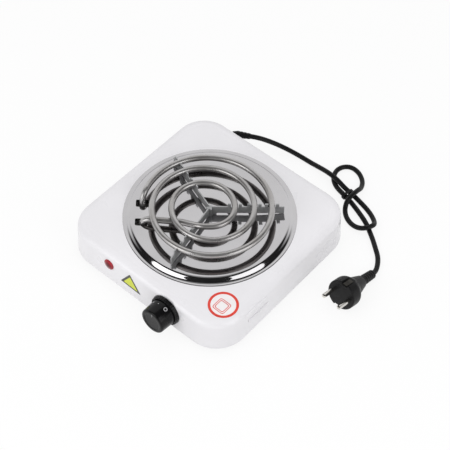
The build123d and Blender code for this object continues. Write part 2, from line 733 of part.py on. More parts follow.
with BuildPart() as control_knob:
    add(knob_form)
    with BuildSketch(KNOB_PLANE.offset(flat_start + END_PLAY)):
        Circle(SPINDLE_RADIUS + 2 * SPINDLE_CLEARANCE)
        with Locations((0, SPINDLE_FLAT + 2 * SPINDLE_CLEARANCE)):
            Rectangle(4 * knob_bore, 4 * knob_bore, align=(Align.CENTER, Align.MAX), mode=Mode.SUBTRACT)
    extrude(amount=bore_end - flat_start - END_PLAY)
    with BuildSketch(KNOB_PLANE.offset(KNOB_FACE)):
        with Locations((0, KNOB_FACE_RADIUS - KNOB_EDGE)):
            Rectangle(POINTER_WIDTH, POINTER_LENGTH, align=(Align.CENTER, Align.MAX))
    extrude(amount=-POINTER_DEPTH, mode=Mode.SUBTRACT)
save(control_knob.part, "control_knob")

recess_radius = KNOB_BASE_RADIUS + GROOVE
knob_bezel = turned(
    KNOB_PLANE,
    (
        (BEZEL_BORE, 0),
        (BEZEL_RADIUS, 0),
        (BEZEL_RADIUS - BEZEL_EDGE, BEZEL_HEIGHT),
        (recess_radius, BEZEL_HEIGHT),
        (recess_radius, BEZEL_HEIGHT - BEZEL_RECESS),
        (BEZEL_BORE, BEZEL_HEIGHT - BEZEL_RECESS),
    ),
)
save(knob_bezel, "knob_bezel")

bushing_back = -SHEET - BUSHING_FLANGE
bushing_tail_end = bushing_back - BUSHING_TAIL
collar_front = bushing_tail_end - END_PLAY
collar_back = collar_front - SPINDLE_COLLAR
tip_end = collar_back - SPINDLE_TIP
spindle_form = turned(
    KNOB_PLANE,
    (
        (0, tip_end),
        (SPINDLE_TIP_RADIUS, tip_end),
        (SPINDLE_TIP_RADIUS, collar_back),
        (SPINDLE_COLLAR_RADIUS, collar_back),
        (SPINDLE_COLLAR_RADIUS, collar_front),
        (SPINDLE_RADIUS, collar_front),
        (SPINDLE_RADIUS, spindle_end),
        (0, spindle_end),
    ),
)
with BuildPart() as control_spindle:
    add(spindle_form)
    with BuildSketch(KNOB_PLANE.offset(flat_start)):
        with Locations((0, SPINDLE_FLAT)):
            Rectangle(4 * SPINDLE_RADIUS, 4 * SPINDLE_RADIUS, align=(Align.CENTER, Align.MIN))
    extrude(amount=spindle_end - flat_start, mode=Mode.SUBTRACT)
save(control_spindle.part, "control_spindle")

bushing_bore = SPINDLE_RADIUS + SPINDLE_CLEARANCE
spindle_bushing = turned(
    KNOB_PLANE,
    (
        (bushing_bore, bushing_tail_end),
        (BUSHING_TAIL_RADIUS, bushing_tail_end),
        (BUSHING_TAIL_RADIUS, bushing_back),
        (BUSHING_FLANGE_RADIUS, bushing_back),
        (BUSHING_FLANGE_RADIUS, -SHEET),
        (BUSHING_RADIUS, -SHEET),
        (BUSHING_RADIUS, BUSHING_PROUD),
        (bushing_bore, BUSHING_PROUD),
    ),
)
save(spindle_bushing, "spindle_bushing")

with BuildPart() as bushing_nut:
    with BuildSketch(KNOB_PLANE):
        RegularPolygon(BUSHING_NUT_ACROSS / 2, 6, major_radius=False)
        Circle(BUSHING_RADIUS + HOLE_CLEARANCE / 3, mode=Mode.SUBTRACT)
    extrude(amount=BUSHING_NUT_HEIGHT)
save(bushing_nut.part, "bushing_nut")

# Thermostat: a frame on the bushing, and a riveted stack of ceramic washers, contacts and bimetal
frame_back = bushing_back - FRAME_SHEET
fixed_front = frame_back - WASHER_FIRST
fixed_back = fixed_front - FIXED_CONTACT_SHEET
spring_front = tip_end - SPRING_GAP
spring_back = spring_front - SPRING_SHEET
bimetal_front = spring_back - WASHER_LOW
bimetal_back = bimetal_front - BIMETAL_SHEET
stack_back = bimetal_back - WASHER_END
stack_hole = STACK_RIVET_RADIUS + HOLE_CLEARANCE / 3

with BuildPart() as thermostat_frame:
    with BuildSketch(KNOB_PLANE.offset(frame_back)):
        with Locations((-STACK_OFFSET / 2, 0)):
            RectangleRounded(FRAME_LENGTH, FRAME_HEIGHT, FRAME_CORNER)
        Circle(BUSHING_TAIL_RADIUS + HOLE_CLEARANCE / 2, mode=Mode.SUBTRACT)
        with Locations((-STACK_OFFSET, 0)):
            Circle(stack_hole, mode=Mode.SUBTRACT)
    extrude(amount=FRAME_SHEET)
save(thermostat_frame.part, "thermostat_frame")

with BuildPart() as thermostat_insulators:
    for low, high in (
        (fixed_front, frame_back),
        (spring_front, fixed_back),
        (bimetal_front, spring_back),
        (stack_back, bimetal_back),
    ):
        with BuildSketch(KNOB_PLANE.offset(low)):
            with Locations((-STACK_OFFSET, 0)):
                Circle(WASHER_RADIUS)
                Circle(stack_hole, mode=Mode.SUBTRACT)
        extrude(amount=high - low)
save(thermostat_insulators.part, "thermostat_insulators")

for name, low, sheet, reach in (
    ("fixed_contact", fixed_back, FIXED_CONTACT_SHEET, -STACK_OFFSET + WASHER_RADIUS),
    ("contact_spring", spring_back, SPRING_SHEET, SPINDLE_TIP_RADIUS),
    ("bimetal_strip", bimetal_back, BIMETAL_SHEET, BIMETAL_REACH),
):
    leaf_start = -STACK_OFFSET - WASHER_RADIUS if name == "bimetal_strip" else -LEAF_END
    with BuildPart() as leaf:
        with BuildSketch(KNOB_PLANE.offset(low)):
            with Locations((leaf_start, 0)):
                Rectangle(reach - leaf_start, LEAF_WIDTH, align=(Align.MIN, Align.CENTER))
            with Locations((-STACK_OFFSET, 0)):
                Circle(stack_hole, mode=Mode.SUBTRACT)
        extrude(amount=sheet)
    save(leaf.part, name)

stack_plane = Plane(
    origin=KNOB_PLANE.from_local_coords((-STACK_OFFSET, 0, 0)),
    x_dir=KNOB_PLANE.x_dir,
    z_dir=KNOB_PLANE.z_dir,
)
stack_rivet = turned(
    stack_plane,
    (
        (0, stack_back - STACK_HEAD),
        (STACK_HEAD_RADIUS, stack_back - STACK_HEAD),
        (STACK_HEAD_RADIUS, stack_back),
        (STACK_RIVET_RADIUS, stack_back),
        (STACK_RIVET_RADIUS, bushing_back),
        (STACK_HEAD_RADIUS, bushing_back),
        (STACK_HEAD_RADIUS, bushing_back + STACK_HEAD),
        (0, bushing_back + STACK_HEAD),
    ),
)
save(stack_rivet, "stack_rivet")

# Push-on receptacles over the ends of the two contact leaves
receptacle_end = -LEAF_END + RECEPTACLE_GRIP - RECEPTACLE_LENGTH
tab_levels = ((fixed_back, FIXED_CONTACT_SHEET), (spring_back, SPRING_SHEET))
with BuildPart() as tab_receptacles:
    for low, sheet in tab_levels:
        tab_middle = low + sheet / 2
        with BuildSketch(KNOB_PLANE.offset(tab_middle)):
            with Locations((receptacle_end, 0)):
                Rectangle(RECEPTACLE_LENGTH, RECEPTACLE_HEIGHT, align=(Align.MIN, Align.CENTER))
        extrude(amount=RECEPTACLE_DEPTH / 2, both=True)
        with BuildSketch(KNOB_PLANE.offset(tab_middle)):
            with Locations((-LEAF_END - HOLE_CLEARANCE, 0)):
                Rectangle(
                    RECEPTACLE_LENGTH, LEAF_WIDTH + HOLE_CLEARANCE, align=(Align.MIN, Align.CENTER)
                )
        extrude(amount=(sheet + HOLE_CLEARANCE / 3) / 2, both=True, mode=Mode.SUBTRACT)
save(tab_receptacles.part, "tab_receptacles")

# Indicator lamp: domed lens and holder through the front wall, with a spring clip behind it
lens_dome = (LENS_RADIUS**2 + (LENS_RISE - LENS_EDGE) ** 2) / (2 * (LENS_RISE - LENS_EDGE))
with BuildPart() as indicator_lens:
    lens_sketch_plane = Plane(LAMP_PLANE.origin, x_dir=LAMP_PLANE.x_dir, z_dir=LAMP_PLANE.y_dir * -1)
    with BuildSketch(lens_sketch_plane):
        with BuildLine():
            Polyline((0, 0), (LENS_RADIUS, 0), (LENS_RADIUS, LENS_EDGE))
            RadiusArc((LENS_RADIUS, LENS_EDGE), (0, LENS_RISE), -lens_dome)
            Line((0, LENS_RISE), (0, 0))
        make_face()
    revolve(axis=Axis(LAMP_PLANE.origin, LAMP_PLANE.z_dir))
save(indicator_lens.part, "indicator_lens")

with BuildPart() as indicator_body:
    with BuildSketch(LAMP_PLANE):
        Circle(LAMP_BODY_RADIUS)
    extrude(amount=-LAMP_BODY_LENGTH)
save(indicator_body.part, "indicator_body")

with BuildPart() as indicator_clip:
    with BuildSketch(LAMP_PLANE.offset(-SHEET)):
        Circle(LAMP_CLIP_RADIUS)
        Circle(LAMP_BODY_RADIUS + HOLE_CLEARANCE / 3, mode=Mode.SUBTRACT)
    extrude(amount=-LAMP_CLIP)
save(indicator_clip.part, "indicator_clip")

# Terminal block with its screws, on the base plate behind the cord's gland
block_top = BASE_TOP + BLOCK_HEIGHT
block_front = BLOCK_BACK - BLOCK_DEPTH
block_middle = BLOCK_BACK - BLOCK_DEPTH / 2
with BuildPart() as terminal_block:
    with BuildSketch(Plane.XY.offset(BASE_TOP)):
        with Locations((BLOCK_X, block_middle)):
            RectangleRounded(BLOCK_LENGTH, BLOCK_DEPTH, BLOCK_CORNER)
    extrude(amount=BLOCK_HEIGHT)
    with BuildSketch(Plane.XY.offset(block_top)):
        with Locations((BLOCK_X, block_middle)):
            with GridLocations(BLOCK_PITCH, 1, BLOCK_WAYS, 1):
                Circle(BLOCK_SCREW_RADIUS + HOLE_CLEARANCE / 3)
    extrude(amount=-BLOCK_SCREW_DEPTH - HOLE_CLEARANCE, mode=Mode.SUBTRACT)
save(terminal_block.part, "terminal_block")

with BuildPart() as terminal_screws:
    for radius, amount in (
        (BLOCK_SCREW_RADIUS, -BLOCK_SCREW_DEPTH),
        (BLOCK_SCREW_HEAD_RADIUS, BLOCK_SCREW_HEAD),
    ):
        with BuildSketch(Plane.XY.offset(block_top)):
            with Locations((BLOCK_X, block_middle)):
                with GridLocations(BLOCK_PITCH, 1, BLOCK_WAYS, 1):
                    Circle(radius)
        extrude(amount=amount)
save(terminal_screws.part, "terminal_screws")

# Earth tag and screw on the base plate
barrel_end = EARTH_Y + EARTH_TAG_RADIUS + EARTH_BARREL_LENGTH
with BuildPart() as earth_tag:
    with BuildSketch(Plane.XY.offset(BASE_TOP)):
        with Locations((EARTH_X, EARTH_Y)):
            Circle(EARTH_TAG_RADIUS)
            Circle(SCREW_RADIUS + HOLE_CLEARANCE, mode=Mode.SUBTRACT)
    extrude(amount=EARTH_TAG_SHEET)
    with BuildSketch(Plane.XY.offset(BASE_TOP)):
        with Locations((EARTH_X, barrel_end)):
            Rectangle(EARTH_BARREL, EARTH_BARREL_LENGTH + 1, align=(Align.CENTER, Align.MAX))
    extrude(amount=EARTH_BARREL)
save(earth_tag.part, "earth_tag")

earth_seat = BASE_TOP + EARTH_TAG_SHEET
earth_screw = turned(
    Plane(origin=(EARTH_X, EARTH_Y, 0)),
    (
        (0, earth_seat - EARTH_SCREW_LENGTH),
        (SCREW_RADIUS, earth_seat - EARTH_SCREW_LENGTH),
        (SCREW_RADIUS, earth_seat),
        (SCREW_HEAD_RADIUS, earth_seat),
        (SCREW_HEAD_RADIUS, earth_seat + SCREW_HEAD_HEIGHT),
        (0, earth_seat + SCREW_HEAD_HEIGHT),
    ),
)
save(earth_screw, "earth_screw")

# Inner wires, each from one terminal face to another
first_spot, last_spot = connector_spots
half_connector = CONNECTOR_SIDE / 2
wire_z = BASE_TOP + WIRE_LEVEL
fixed_tab = KNOB_PLANE.from_local_coords((receptacle_end, 0, tab_levels[0][0] + tab_levels[0][1] / 2))
spring_tab = KNOB_PLANE.from_local_coords((receptacle_end, 0, tab_levels[1][0] + tab_levels[1][1] / 2))
lamp_back = -LAMP_BODY_LENGTH
lamp_right = LAMP_WIRE_SPREAD / 2
lamp_a = [LAMP_PLANE.from_local_coords((lamp_right, 0, lamp_back - run)) for run in (0, LAMP_LEADS[0])]
lamp_b = [LAMP_PLANE.from_local_coords((-lamp_right, 0, lamp_back - run)) for run in (0, LAMP_LEADS[1])]
WIRE_ROUTES = {
    "wire_live": (
        (BLOCK_X + BLOCK_PITCH, block_front, wire_z),
        (BLOCK_X + BLOCK_PITCH, block_front - LIVE_LEAD, wire_z),
        LIVE_MIDDLE,
        LIVE_FRONT,
        (fixed_tab.X - LIVE_TAB_RUN, fixed_tab.Y, fixed_tab.Z),
        tuple(fixed_tab),
    ),
    "wire_neutral": (
        (BLOCK_X, block_front, wire_z),
        (BLOCK_X, block_front - NEUTRAL_LEAD, wire_z),
        (first_spot.X, first_spot.Y + NEUTRAL_RUN, connector_level),
        (first_spot.X, first_spot.Y + half_connector, connector_level),
    ),
    "wire_switched": (
        tuple(spring_tab),
        (spring_tab.X - SWITCHED_TAB_RUN, spring_tab.Y, spring_tab.Z),
        tuple(Vector(last_spot.X, last_spot.Y, connector_level) + Vector(*SWITCHED_SWING)),
        (last_spot.X + SWITCHED_SIDE_RUN, last_spot.Y, connector_level),
        (last_spot.X + half_connector, last_spot.Y, connector_level),
    ),
    "wire_earth": (
        (BLOCK_X - BLOCK_PITCH, block_front, wire_z),
        (BLOCK_X - BLOCK_PITCH, block_front - EARTH_LEAD, wire_z),
        (EARTH_X, barrel_end + EARTH_RUN, BASE_TOP + EARTH_BARREL / 2),
        (EARTH_X, barrel_end, BASE_TOP + EARTH_BARREL / 2),
    ),
    "wire_lamp_a": (
        *(tuple(spot) for spot in lamp_a),
        (last_spot.X, last_spot.Y - half_connector - LAMP_RUNS[0], connector_level),
        (last_spot.X, last_spot.Y - half_connector, connector_level),
    ),
    "wire_lamp_b": (
        *(tuple(spot) for spot in lamp_b),
        (first_spot.X, first_spot.Y - half_connector - LAMP_RUNS[1], connector_level),
        (first_spot.X, first_spot.Y - half_connector, connector_level),
    ),
}
for name, route in WIRE_ROUTES.items():
    wire, wire_line = tube(route, corner_radii(route), WIRE_RADIUS)
    print(name, "length", round(wire_line.length, 1))
    save(wire, name)


def boot_sections(stations, base_radius, tip_radius, ribs, rib):
    """Circles along a strain relief: a taper from base to tip with raised ribs, as (plane, radius)."""
    sections = []
    for step, station in enumerate(stations):
        share = step / (len(stations) - 1)
        radius = base_radius + (tip_radius - base_radius) * share
        raised = rib if step % 2 == 1 and step < 2 * ribs else 0.0
        sections.append((station, radius + raised))
    return sections


# Cord gland: flanges either side of the back wall and a ribbed boot that bends round to the right
boot_points = (
    (0, 0, GLAND_FLANGE),
    (0, 0, GLAND_FLANGE + BOOT_LEAD + BOOT_BEND * tan(radians(BOOT_TURN / 2))),
    (
        (BOOT_BEND * tan(radians(BOOT_TURN / 2)) + BOOT_TAIL) * sin(radians(BOOT_TURN)),
        0,
        GLAND_FLANGE
        + BOOT_LEAD
        + BOOT_BEND * tan(radians(BOOT_TURN / 2))
        + (BOOT_BEND * tan(radians(BOOT_TURN / 2)) + BOOT_TAIL) * cos(radians(BOOT_TURN)),
    ),
)
with BuildLine(GLAND_PLANE) as boot_line:
    FilletPolyline(*boot_points, radius=BOOT_BEND)
boot_wire = boot_line.wire()
boot_stations = []
for step in range(2 * BOOT_RIBS + 1):
    share = step / (2 * BOOT_RIBS)
    boot_stations.append(Plane(boot_wire @ share, x_dir=GLAND_PLANE.y_dir, z_dir=boot_wire % share))
inner_face = -SHEET - GLAND_SLACK - GLAND_INNER_FLANGE
gland_form = turned(
    GLAND_PLANE,
    (
        (0, inner_face),
        (GLAND_FLANGE_RADIUS - 1, inner_face),
        (GLAND_FLANGE_RADIUS - 1, -SHEET - GLAND_SLACK),
        (GLAND_NECK_RADIUS, -SHEET - GLAND_SLACK),
        (GLAND_NECK_RADIUS, 0),
        (GLAND_FLANGE_RADIUS, 0),
        (GLAND_FLANGE_RADIUS, GLAND_FLANGE / 2),
        (GLAND_FLANGE_RADIUS - GLAND_FLANGE / 2, GLAND_FLANGE),
        (0, GLAND_FLANGE),
    ),
)
with BuildPart() as cord_gland:
    add(gland_form)
    for station, radius in boot_sections(
        boot_stations, BOOT_BASE_RADIUS, BOOT_TIP_RADIUS, BOOT_RIBS, BOOT_RIB
    ):
        with BuildSketch(station):
            Circle(radius)
    loft(ruled=True)
save(cord_gland.part, "cord_gland")

inner_start_spot = GLAND_PLANE.from_local_coords((0, 0, inner_face))
inner_length = (inner_start_spot.Y - BLOCK_BACK - HOLE_CLEARANCE) / cos(LEAN)
with BuildPart() as cord_inner:
    with BuildSketch(GLAND_PLANE.offset(inner_face)):
        Circle(CORD_RADIUS)
    extrude(amount=-inner_length)
save(cord_inner.part, "cord_inner")

# Plug, on an axis that runs from its face back to the cord
plug_axis = Vector(
    cos(radians(PLUG_HEADING)) * cos(radians(PLUG_TILT)),
    sin(radians(PLUG_HEADING)) * cos(radians(PLUG_TILT)),
    -sin(radians(PLUG_TILT)),
)
plug_height = PLUG_RADIUS * cos(radians(PLUG_TILT)) + PLUG_DISC * sin(radians(PLUG_TILT))
plug_side = Vector(sin(radians(PLUG_HEADING)), -cos(radians(PLUG_HEADING)), 0)
PLUG_PLANE = Plane(origin=(PLUG_X, PLUG_Y, plug_height), x_dir=plug_side, z_dir=plug_axis)
neck_start = PLUG_DISC + PLUG_SHOULDER
neck_end = neck_start + PLUG_NECK
plug_form = turned(
    PLUG_PLANE,
    (
        (0, 0),
        (PLUG_RADIUS - PLUG_EDGE, 0),
        (PLUG_RADIUS, PLUG_EDGE),
        (PLUG_RADIUS, PLUG_DISC),
        (PLUG_NECK_RADIUS, neck_start),
        (PLUG_NECK_END_RADIUS, neck_end),
        (0, neck_end),
    ),
)
pin_spots = (("left", -PLUG_PIN_SPACING / 2), ("right", PLUG_PIN_SPACING / 2))
recess_floor = PLUG_RADIUS - RECESS_DEPTH
with BuildPart() as plug_body:
    add(plug_form)
    with BuildSketch(PLUG_PLANE):
        with Locations((0, recess_floor)):
            Rectangle(RECESS_WIDTH, PLUG_RADIUS, align=(Align.CENTER, Align.MIN))
        with Locations((0, -recess_floor)):
            Rectangle(RECESS_WIDTH, PLUG_RADIUS, align=(Align.CENTER, Align.MAX))
    extrude(amount=neck_start, mode=Mode.SUBTRACT)
    with BuildSketch(PLUG_PLANE):
        with Locations(*((place, 0) for name, place in pin_spots)):
            Circle(PLUG_PIN_RADIUS + PLUG_FIT)
    extrude(amount=PLUG_PIN_SEAT, mode=Mode.SUBTRACT)
save(plug_body.part, "plug_body")

for name, place in pin_spots:
    pin_plane = Plane(
        origin=PLUG_PLANE.from_local_coords((place, 0, 0)), x_dir=plug_side, z_dir=plug_axis
    )
    plug_pin = turned(
        pin_plane,
        (
            (0, -PLUG_PIN_LENGTH),
            (PLUG_PIN_RADIUS - PLUG_PIN_TIP, -PLUG_PIN_LENGTH),
            (PLUG_PIN_RADIUS, -PLUG_PIN_LENGTH + PLUG_PIN_TIP),
            (PLUG_PIN_RADIUS, PLUG_PIN_SEAT),
            (0, PLUG_PIN_SEAT),
        ),
    )
    save(plug_pin, f"plug_pin_{name}")

with BuildPart() as plug_earth_clips:
    with BuildSketch(PLUG_PLANE.offset((PLUG_DISC - CLIP_LENGTH) / 2)):
        with Locations((0, recess_floor)):
            Rectangle(CLIP_WIDTH, CLIP_SHEET, align=(Align.CENTER, Align.MIN))
        with Locations((0, -recess_floor)):
            Rectangle(CLIP_WIDTH, CLIP_SHEET, align=(Align.CENTER, Align.MAX))
    extrude(amount=CLIP_LENGTH)
save(plug_earth_clips.part, "plug_earth_clips")

boot_end = neck_end + PLUG_BOOT_LENGTH
plug_stations = []
for step in range(2 * PLUG_BOOT_RIBS + 1):
    share = step / (2 * PLUG_BOOT_RIBS)
    plug_stations.append(PLUG_PLANE.offset(neck_end + PLUG_BOOT_LENGTH * share))
with BuildPart() as plug_boot:
    for station, radius in boot_sections(
        plug_stations, PLUG_BOOT_BASE_RADIUS, PLUG_BOOT_TIP_RADIUS, PLUG_BOOT_RIBS, PLUG_BOOT_RIB
    ):
        with BuildSketch(station):
            Circle(radius)
    loft(ruled=True)
save(plug_boot.part, "plug_boot")

# Cord: out of the gland's boot, along the floor, a figure of eight, and on to the plug's boot
cord_exit = boot_wire @ 1
cord_way = boot_wire % 1
cord_end = PLUG_PLANE.from_local_coords((0, 0, boot_end))
CORD_ROUTE = (
    tuple(cord_exit),
    tuple(cord_exit + cord_way * CORD_LEAD_OUT),
    (-36.6, 137.8, 18.5),
    (-26.2, 146, 11.7),
    (-13, 151.8, 6.6),
    (0, 155, 3.6),
    (14, 155.9, CORD_RADIUS),
    (29, 155.1, 5.6),
    (42, 152.8, 9.3),
    (54, 151.2, 9.3),
    (66, 150.6, 4.4),
    (78, 149, 4.3),
    (91, 146.6, 3.2),
    (104, 143.2, CORD_RADIUS),
    (113.5, 138.5, 2.9),
    (120, 132.6, 5),
    (122.2, 126.2, 9.3),
    (119, 118.6, 9.3),
    (111, 115.2, 5.5),
    (101, 116, 3),
    (90.5, 120.3, 2.8),
    (83, 127.6, 4),
    (80, 136, 10.9),
    (80.6, 152.4, 10.9),
    (79.4, 162.5, 4.6),
    (73.6, 173, 2.8),
    (63, 180, CORD_RADIUS),
    (52, 181, 2.8),
    (44.6, 175.6, CORD_RADIUS),
    (42, 167.4, 2.8),
    (43.6, 159.8, CORD_RADIUS),
    (48.4, 152.2, 2.8),
    (57, 146.6, 2.9),
    (69.6, 142.8, 4.2),
    (83, 139.4, 4.1),
    (98, 134.4, 2.9),
    (112, 128.2, CORD_RADIUS),
    (121.5, 121.6, 2.8),
    (131, 114.9, CORD_RADIUS),
    (140, 107.5, 2.8),
    (148.6, 100.4, CORD_RADIUS),
    (154.8, 91.6, 2.9),
    tuple(cord_end + plug_axis * CORD_LEAD_IN),
    tuple(cord_end),
)
LEAD_POINTS = 7
TAIL_POINTS = 5
cord_radii = corner_radii(CORD_ROUTE)
print("cord radii", [round(radius, 1) for radius in cord_radii])
hank_last = len(CORD_ROUTE) - TAIL_POINTS
lead_split = tuple((Vector(*CORD_ROUTE[LEAD_POINTS - 1]) + Vector(*CORD_ROUTE[LEAD_POINTS])) / 2)
tail_split = tuple((Vector(*CORD_ROUTE[hank_last - 1]) + Vector(*CORD_ROUTE[hank_last])) / 2)
cord_pieces = (
    ("cord_lead", (*CORD_ROUTE[:LEAD_POINTS], lead_split), cord_radii[: LEAD_POINTS - 1]),
    (
        "cord_hank",
        (lead_split, *CORD_ROUTE[LEAD_POINTS:hank_last], tail_split),
        cord_radii[LEAD_POINTS - 1 : hank_last - 1],
    ),
    ("cord_tail", (tail_split, *CORD_ROUTE[hank_last:]), cord_radii[hank_last - 1 :]),
)
cord_length = 0.0
for name, route, radii in cord_pieces:
    stretch, stretch_line = tube(route, radii, CORD_RADIUS)
    share = stretch.volume / (pi * CORD_RADIUS**2 * stretch_line.length)
    print(name, "length", round(stretch_line.length, 1), "volume share", round(share, 4))
    if name == "cord_hank":
        print("cord hank least gap", round(least_gap(stretch_line, CORD_RADIUS), 2))
    cord_length += stretch_line.length
    save(stretch, name)
print("cord length", round(cord_length, 1))

# Tie: a flat band round the two strands where the loops of the figure of eight meet
tie_way = (cos(radians(TIE_HEADING)), sin(radians(TIE_HEADING)), 0)
tie_plane = Plane(
    origin=TIE_CENTRE, x_dir=(-sin(radians(TIE_HEADING)), cos(radians(TIE_HEADING)), 0), z_dir=tie_way
)
with BuildPart() as cord_tie:
    with BuildSketch(tie_plane):
        SlotOverall(TIE_SPAN + 2 * TIE_SHEET, TIE_OPENING + 2 * TIE_SHEET)
        SlotOverall(TIE_SPAN, TIE_OPENING, mode=Mode.SUBTRACT)
    extrude(amount=TIE_WIDTH / 2, both=True)
save(cord_tie.part, "cord_tie")
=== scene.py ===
"""Single hot plate burner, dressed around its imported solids.

The file is laid out as an add-on: sizes and colours are properties, one operator makes each piece
or group of like pieces, and main() calls them in order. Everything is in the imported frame: the
origin is on the floor under the middle of the cover, +X to the right, -Y to the front, +Z up.
Shapes are worked out in millimetres and put into their meshes in metres.
"""

import math

import bmesh
import bpy
import numpy as np
from bpy.props import FloatProperty, FloatVectorProperty, PointerProperty
from mathutils import Matrix


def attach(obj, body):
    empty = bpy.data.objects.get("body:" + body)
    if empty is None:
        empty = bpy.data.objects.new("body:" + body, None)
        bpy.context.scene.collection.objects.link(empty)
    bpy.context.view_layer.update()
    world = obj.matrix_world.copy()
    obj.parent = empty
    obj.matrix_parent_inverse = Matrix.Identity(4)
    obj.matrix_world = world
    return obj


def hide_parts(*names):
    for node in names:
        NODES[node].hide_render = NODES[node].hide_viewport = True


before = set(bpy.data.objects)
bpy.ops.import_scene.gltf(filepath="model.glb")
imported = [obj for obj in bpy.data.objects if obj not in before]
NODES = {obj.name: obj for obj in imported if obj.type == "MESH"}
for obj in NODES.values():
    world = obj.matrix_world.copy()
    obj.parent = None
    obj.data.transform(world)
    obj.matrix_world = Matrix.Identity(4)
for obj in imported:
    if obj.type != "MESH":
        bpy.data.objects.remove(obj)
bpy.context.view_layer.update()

bl_info = {
    "name": "Hot plate burner",
    "version": (1, 0, 0),
    "blender": (4, 5, 0),
    "location": "View3D > Sidebar > Hot plate",
    "description": "Builds the visible pieces of a single hot plate burner around its solids",
    "category": "Object",
}

MM = 0.001
FRONT, BACK, RIGHT = (0, -1, 0), (0, 1, 0), (1, 0, 0)
UP = np.array([0.0, 0.0, 1.0])

# Places on the walls, in millimetres: how far along from the middle, and how far up the wall
KNOB_PLACE = (37.4, 20.0)
LAMP_PLACE = (-42.2, 24.0)
GLAND_PLACE = (67.2, 16.0)
LOUVRE_PLACES = ((-52.5, 31.0), (-49.5, 19.6))
TRIANGLE_CORNERS = ((-25.8, 12.4), (2.2, 11.2), (-13.2, 31.9))

# Places on the plan, in millimetres: the round mark and the shift of its lines, the coil's legs in
# the coil's own axes, and the plug's face
MARK_PLACE = (84.5, -75.7)
MARK_SHIFT = (0.0, -2.2)
COIL_TURN = math.radians(41.0)
LEG_PLACES = ((-70.4, 12.4), (-70.4, -12.4))
PLUG_PLACE = (155.24, 25.19)

# Half length, width and thickness of a louvre, and half sizes of the slot round a coil leg
LOUVRE_HALF = (15.5, 1.7, 1.6)
SLOT_HALF = (7.0, 4.7, 4.0)

# The height where the knob's side starts, and how far it draws in from there to the knob's face
KNOB_SKIRT = 3.6
KNOB_TAPER = 0.8

# How far the prints on the cover reach into it
PRINT_SINK = 0.05

# The plug's heading and tilt and the depth of its disc, and the flats for its earth clips: half
# their width and how far they are from the plug's axis
PLUG_HEADING = math.radians(86.5)
PLUG_TILT = math.radians(15.5)
PLUG_DISC = 13.0
CLIP_HALF_WIDTH = 4.0
CLIP_FLAT = 13.4

# The camera's azimuth, elevation and roll in degrees, its place in metres and its lens
CAMERA_ANGLES = (40.4, 52.22, 0.77)
CAMERA_PLACE = (0.53309, -0.60187, 1.0655)
CAMERA_LENS = 99.78

# The direction of the wall behind the object, how much of the floor is plain white to the camera,
# and the studio lights' width and height, distance, elevation and aim, with lengths in metres
BEHIND = (-0.648, 0.762, 0.0)
FLOOR_GLOW = 0.86
LIGHT_SIZE = (0.8, 0.95)
LIGHT_AWAY = 1.4
LIGHT_RISE = math.radians(33.0)
LIGHT_AIM = (0.02, 0.02, 0.03)

# The cord's route from the gland's boot to the plug's boot, in metres
CORD_ROUTE = (
    (-0.050946, 0.126221, 0.024177), (-0.044324, 0.129734, 0.024416), (-0.0366, 0.1378, 0.0185),
    (-0.0262, 0.146, 0.0117), (-0.013, 0.1518, 0.0066), (0.0, 0.155, 0.0036),
    (0.014, 0.1559, 0.00275), (0.029, 0.1551, 0.0056), (0.042, 0.1528, 0.0093),
    (0.054, 0.1512, 0.0093), (0.066, 0.1506, 0.0044), (0.078, 0.149, 0.0043),
    (0.091, 0.1466, 0.0032), (0.104, 0.1432, 0.00275), (0.1135, 0.1385, 0.0029),
    (0.12, 0.1326, 0.005), (0.1222, 0.1262, 0.0093), (0.119, 0.1186, 0.0093),
    (0.111, 0.1152, 0.0055), (0.101, 0.116, 0.003), (0.0905, 0.1203, 0.0028),
    (0.083, 0.1276, 0.004), (0.08, 0.136, 0.0109), (0.0806, 0.1524, 0.0109),
    (0.0794, 0.1625, 0.0046), (0.0736, 0.173, 0.0028), (0.063, 0.18, 0.00275),
    (0.052, 0.181, 0.0028), (0.0446, 0.1756, 0.00275), (0.042, 0.1674, 0.0028),
    (0.0436, 0.1598, 0.00275), (0.0484, 0.1522, 0.0028), (0.057, 0.1466, 0.0029),
    (0.0696, 0.1428, 0.0042), (0.083, 0.1394, 0.0041), (0.098, 0.1344, 0.0029),
    (0.112, 0.1282, 0.00275), (0.1215, 0.1216, 0.0028), (0.131, 0.1149, 0.00275),
    (0.14, 0.1075, 0.0028), (0.1486, 0.1004, 0.00275), (0.1548, 0.0916, 0.0029),
    (0.15874, 0.082419, 0.00357), (0.158417, 0.077129, 0.00504),
)


def length(name, description, default):
    """A length that a user may change."""
    return FloatProperty(
        name=name, description=description, default=default, min=0.0, unit="LENGTH", precision=5
    )


def colour(name, description, default):
    """A colour that a user may change, in linear light."""
    return FloatVectorProperty(
        name=name, description=description, default=default, size=3, min=0.0, max=1.0,
        subtype="COLOR",
    )


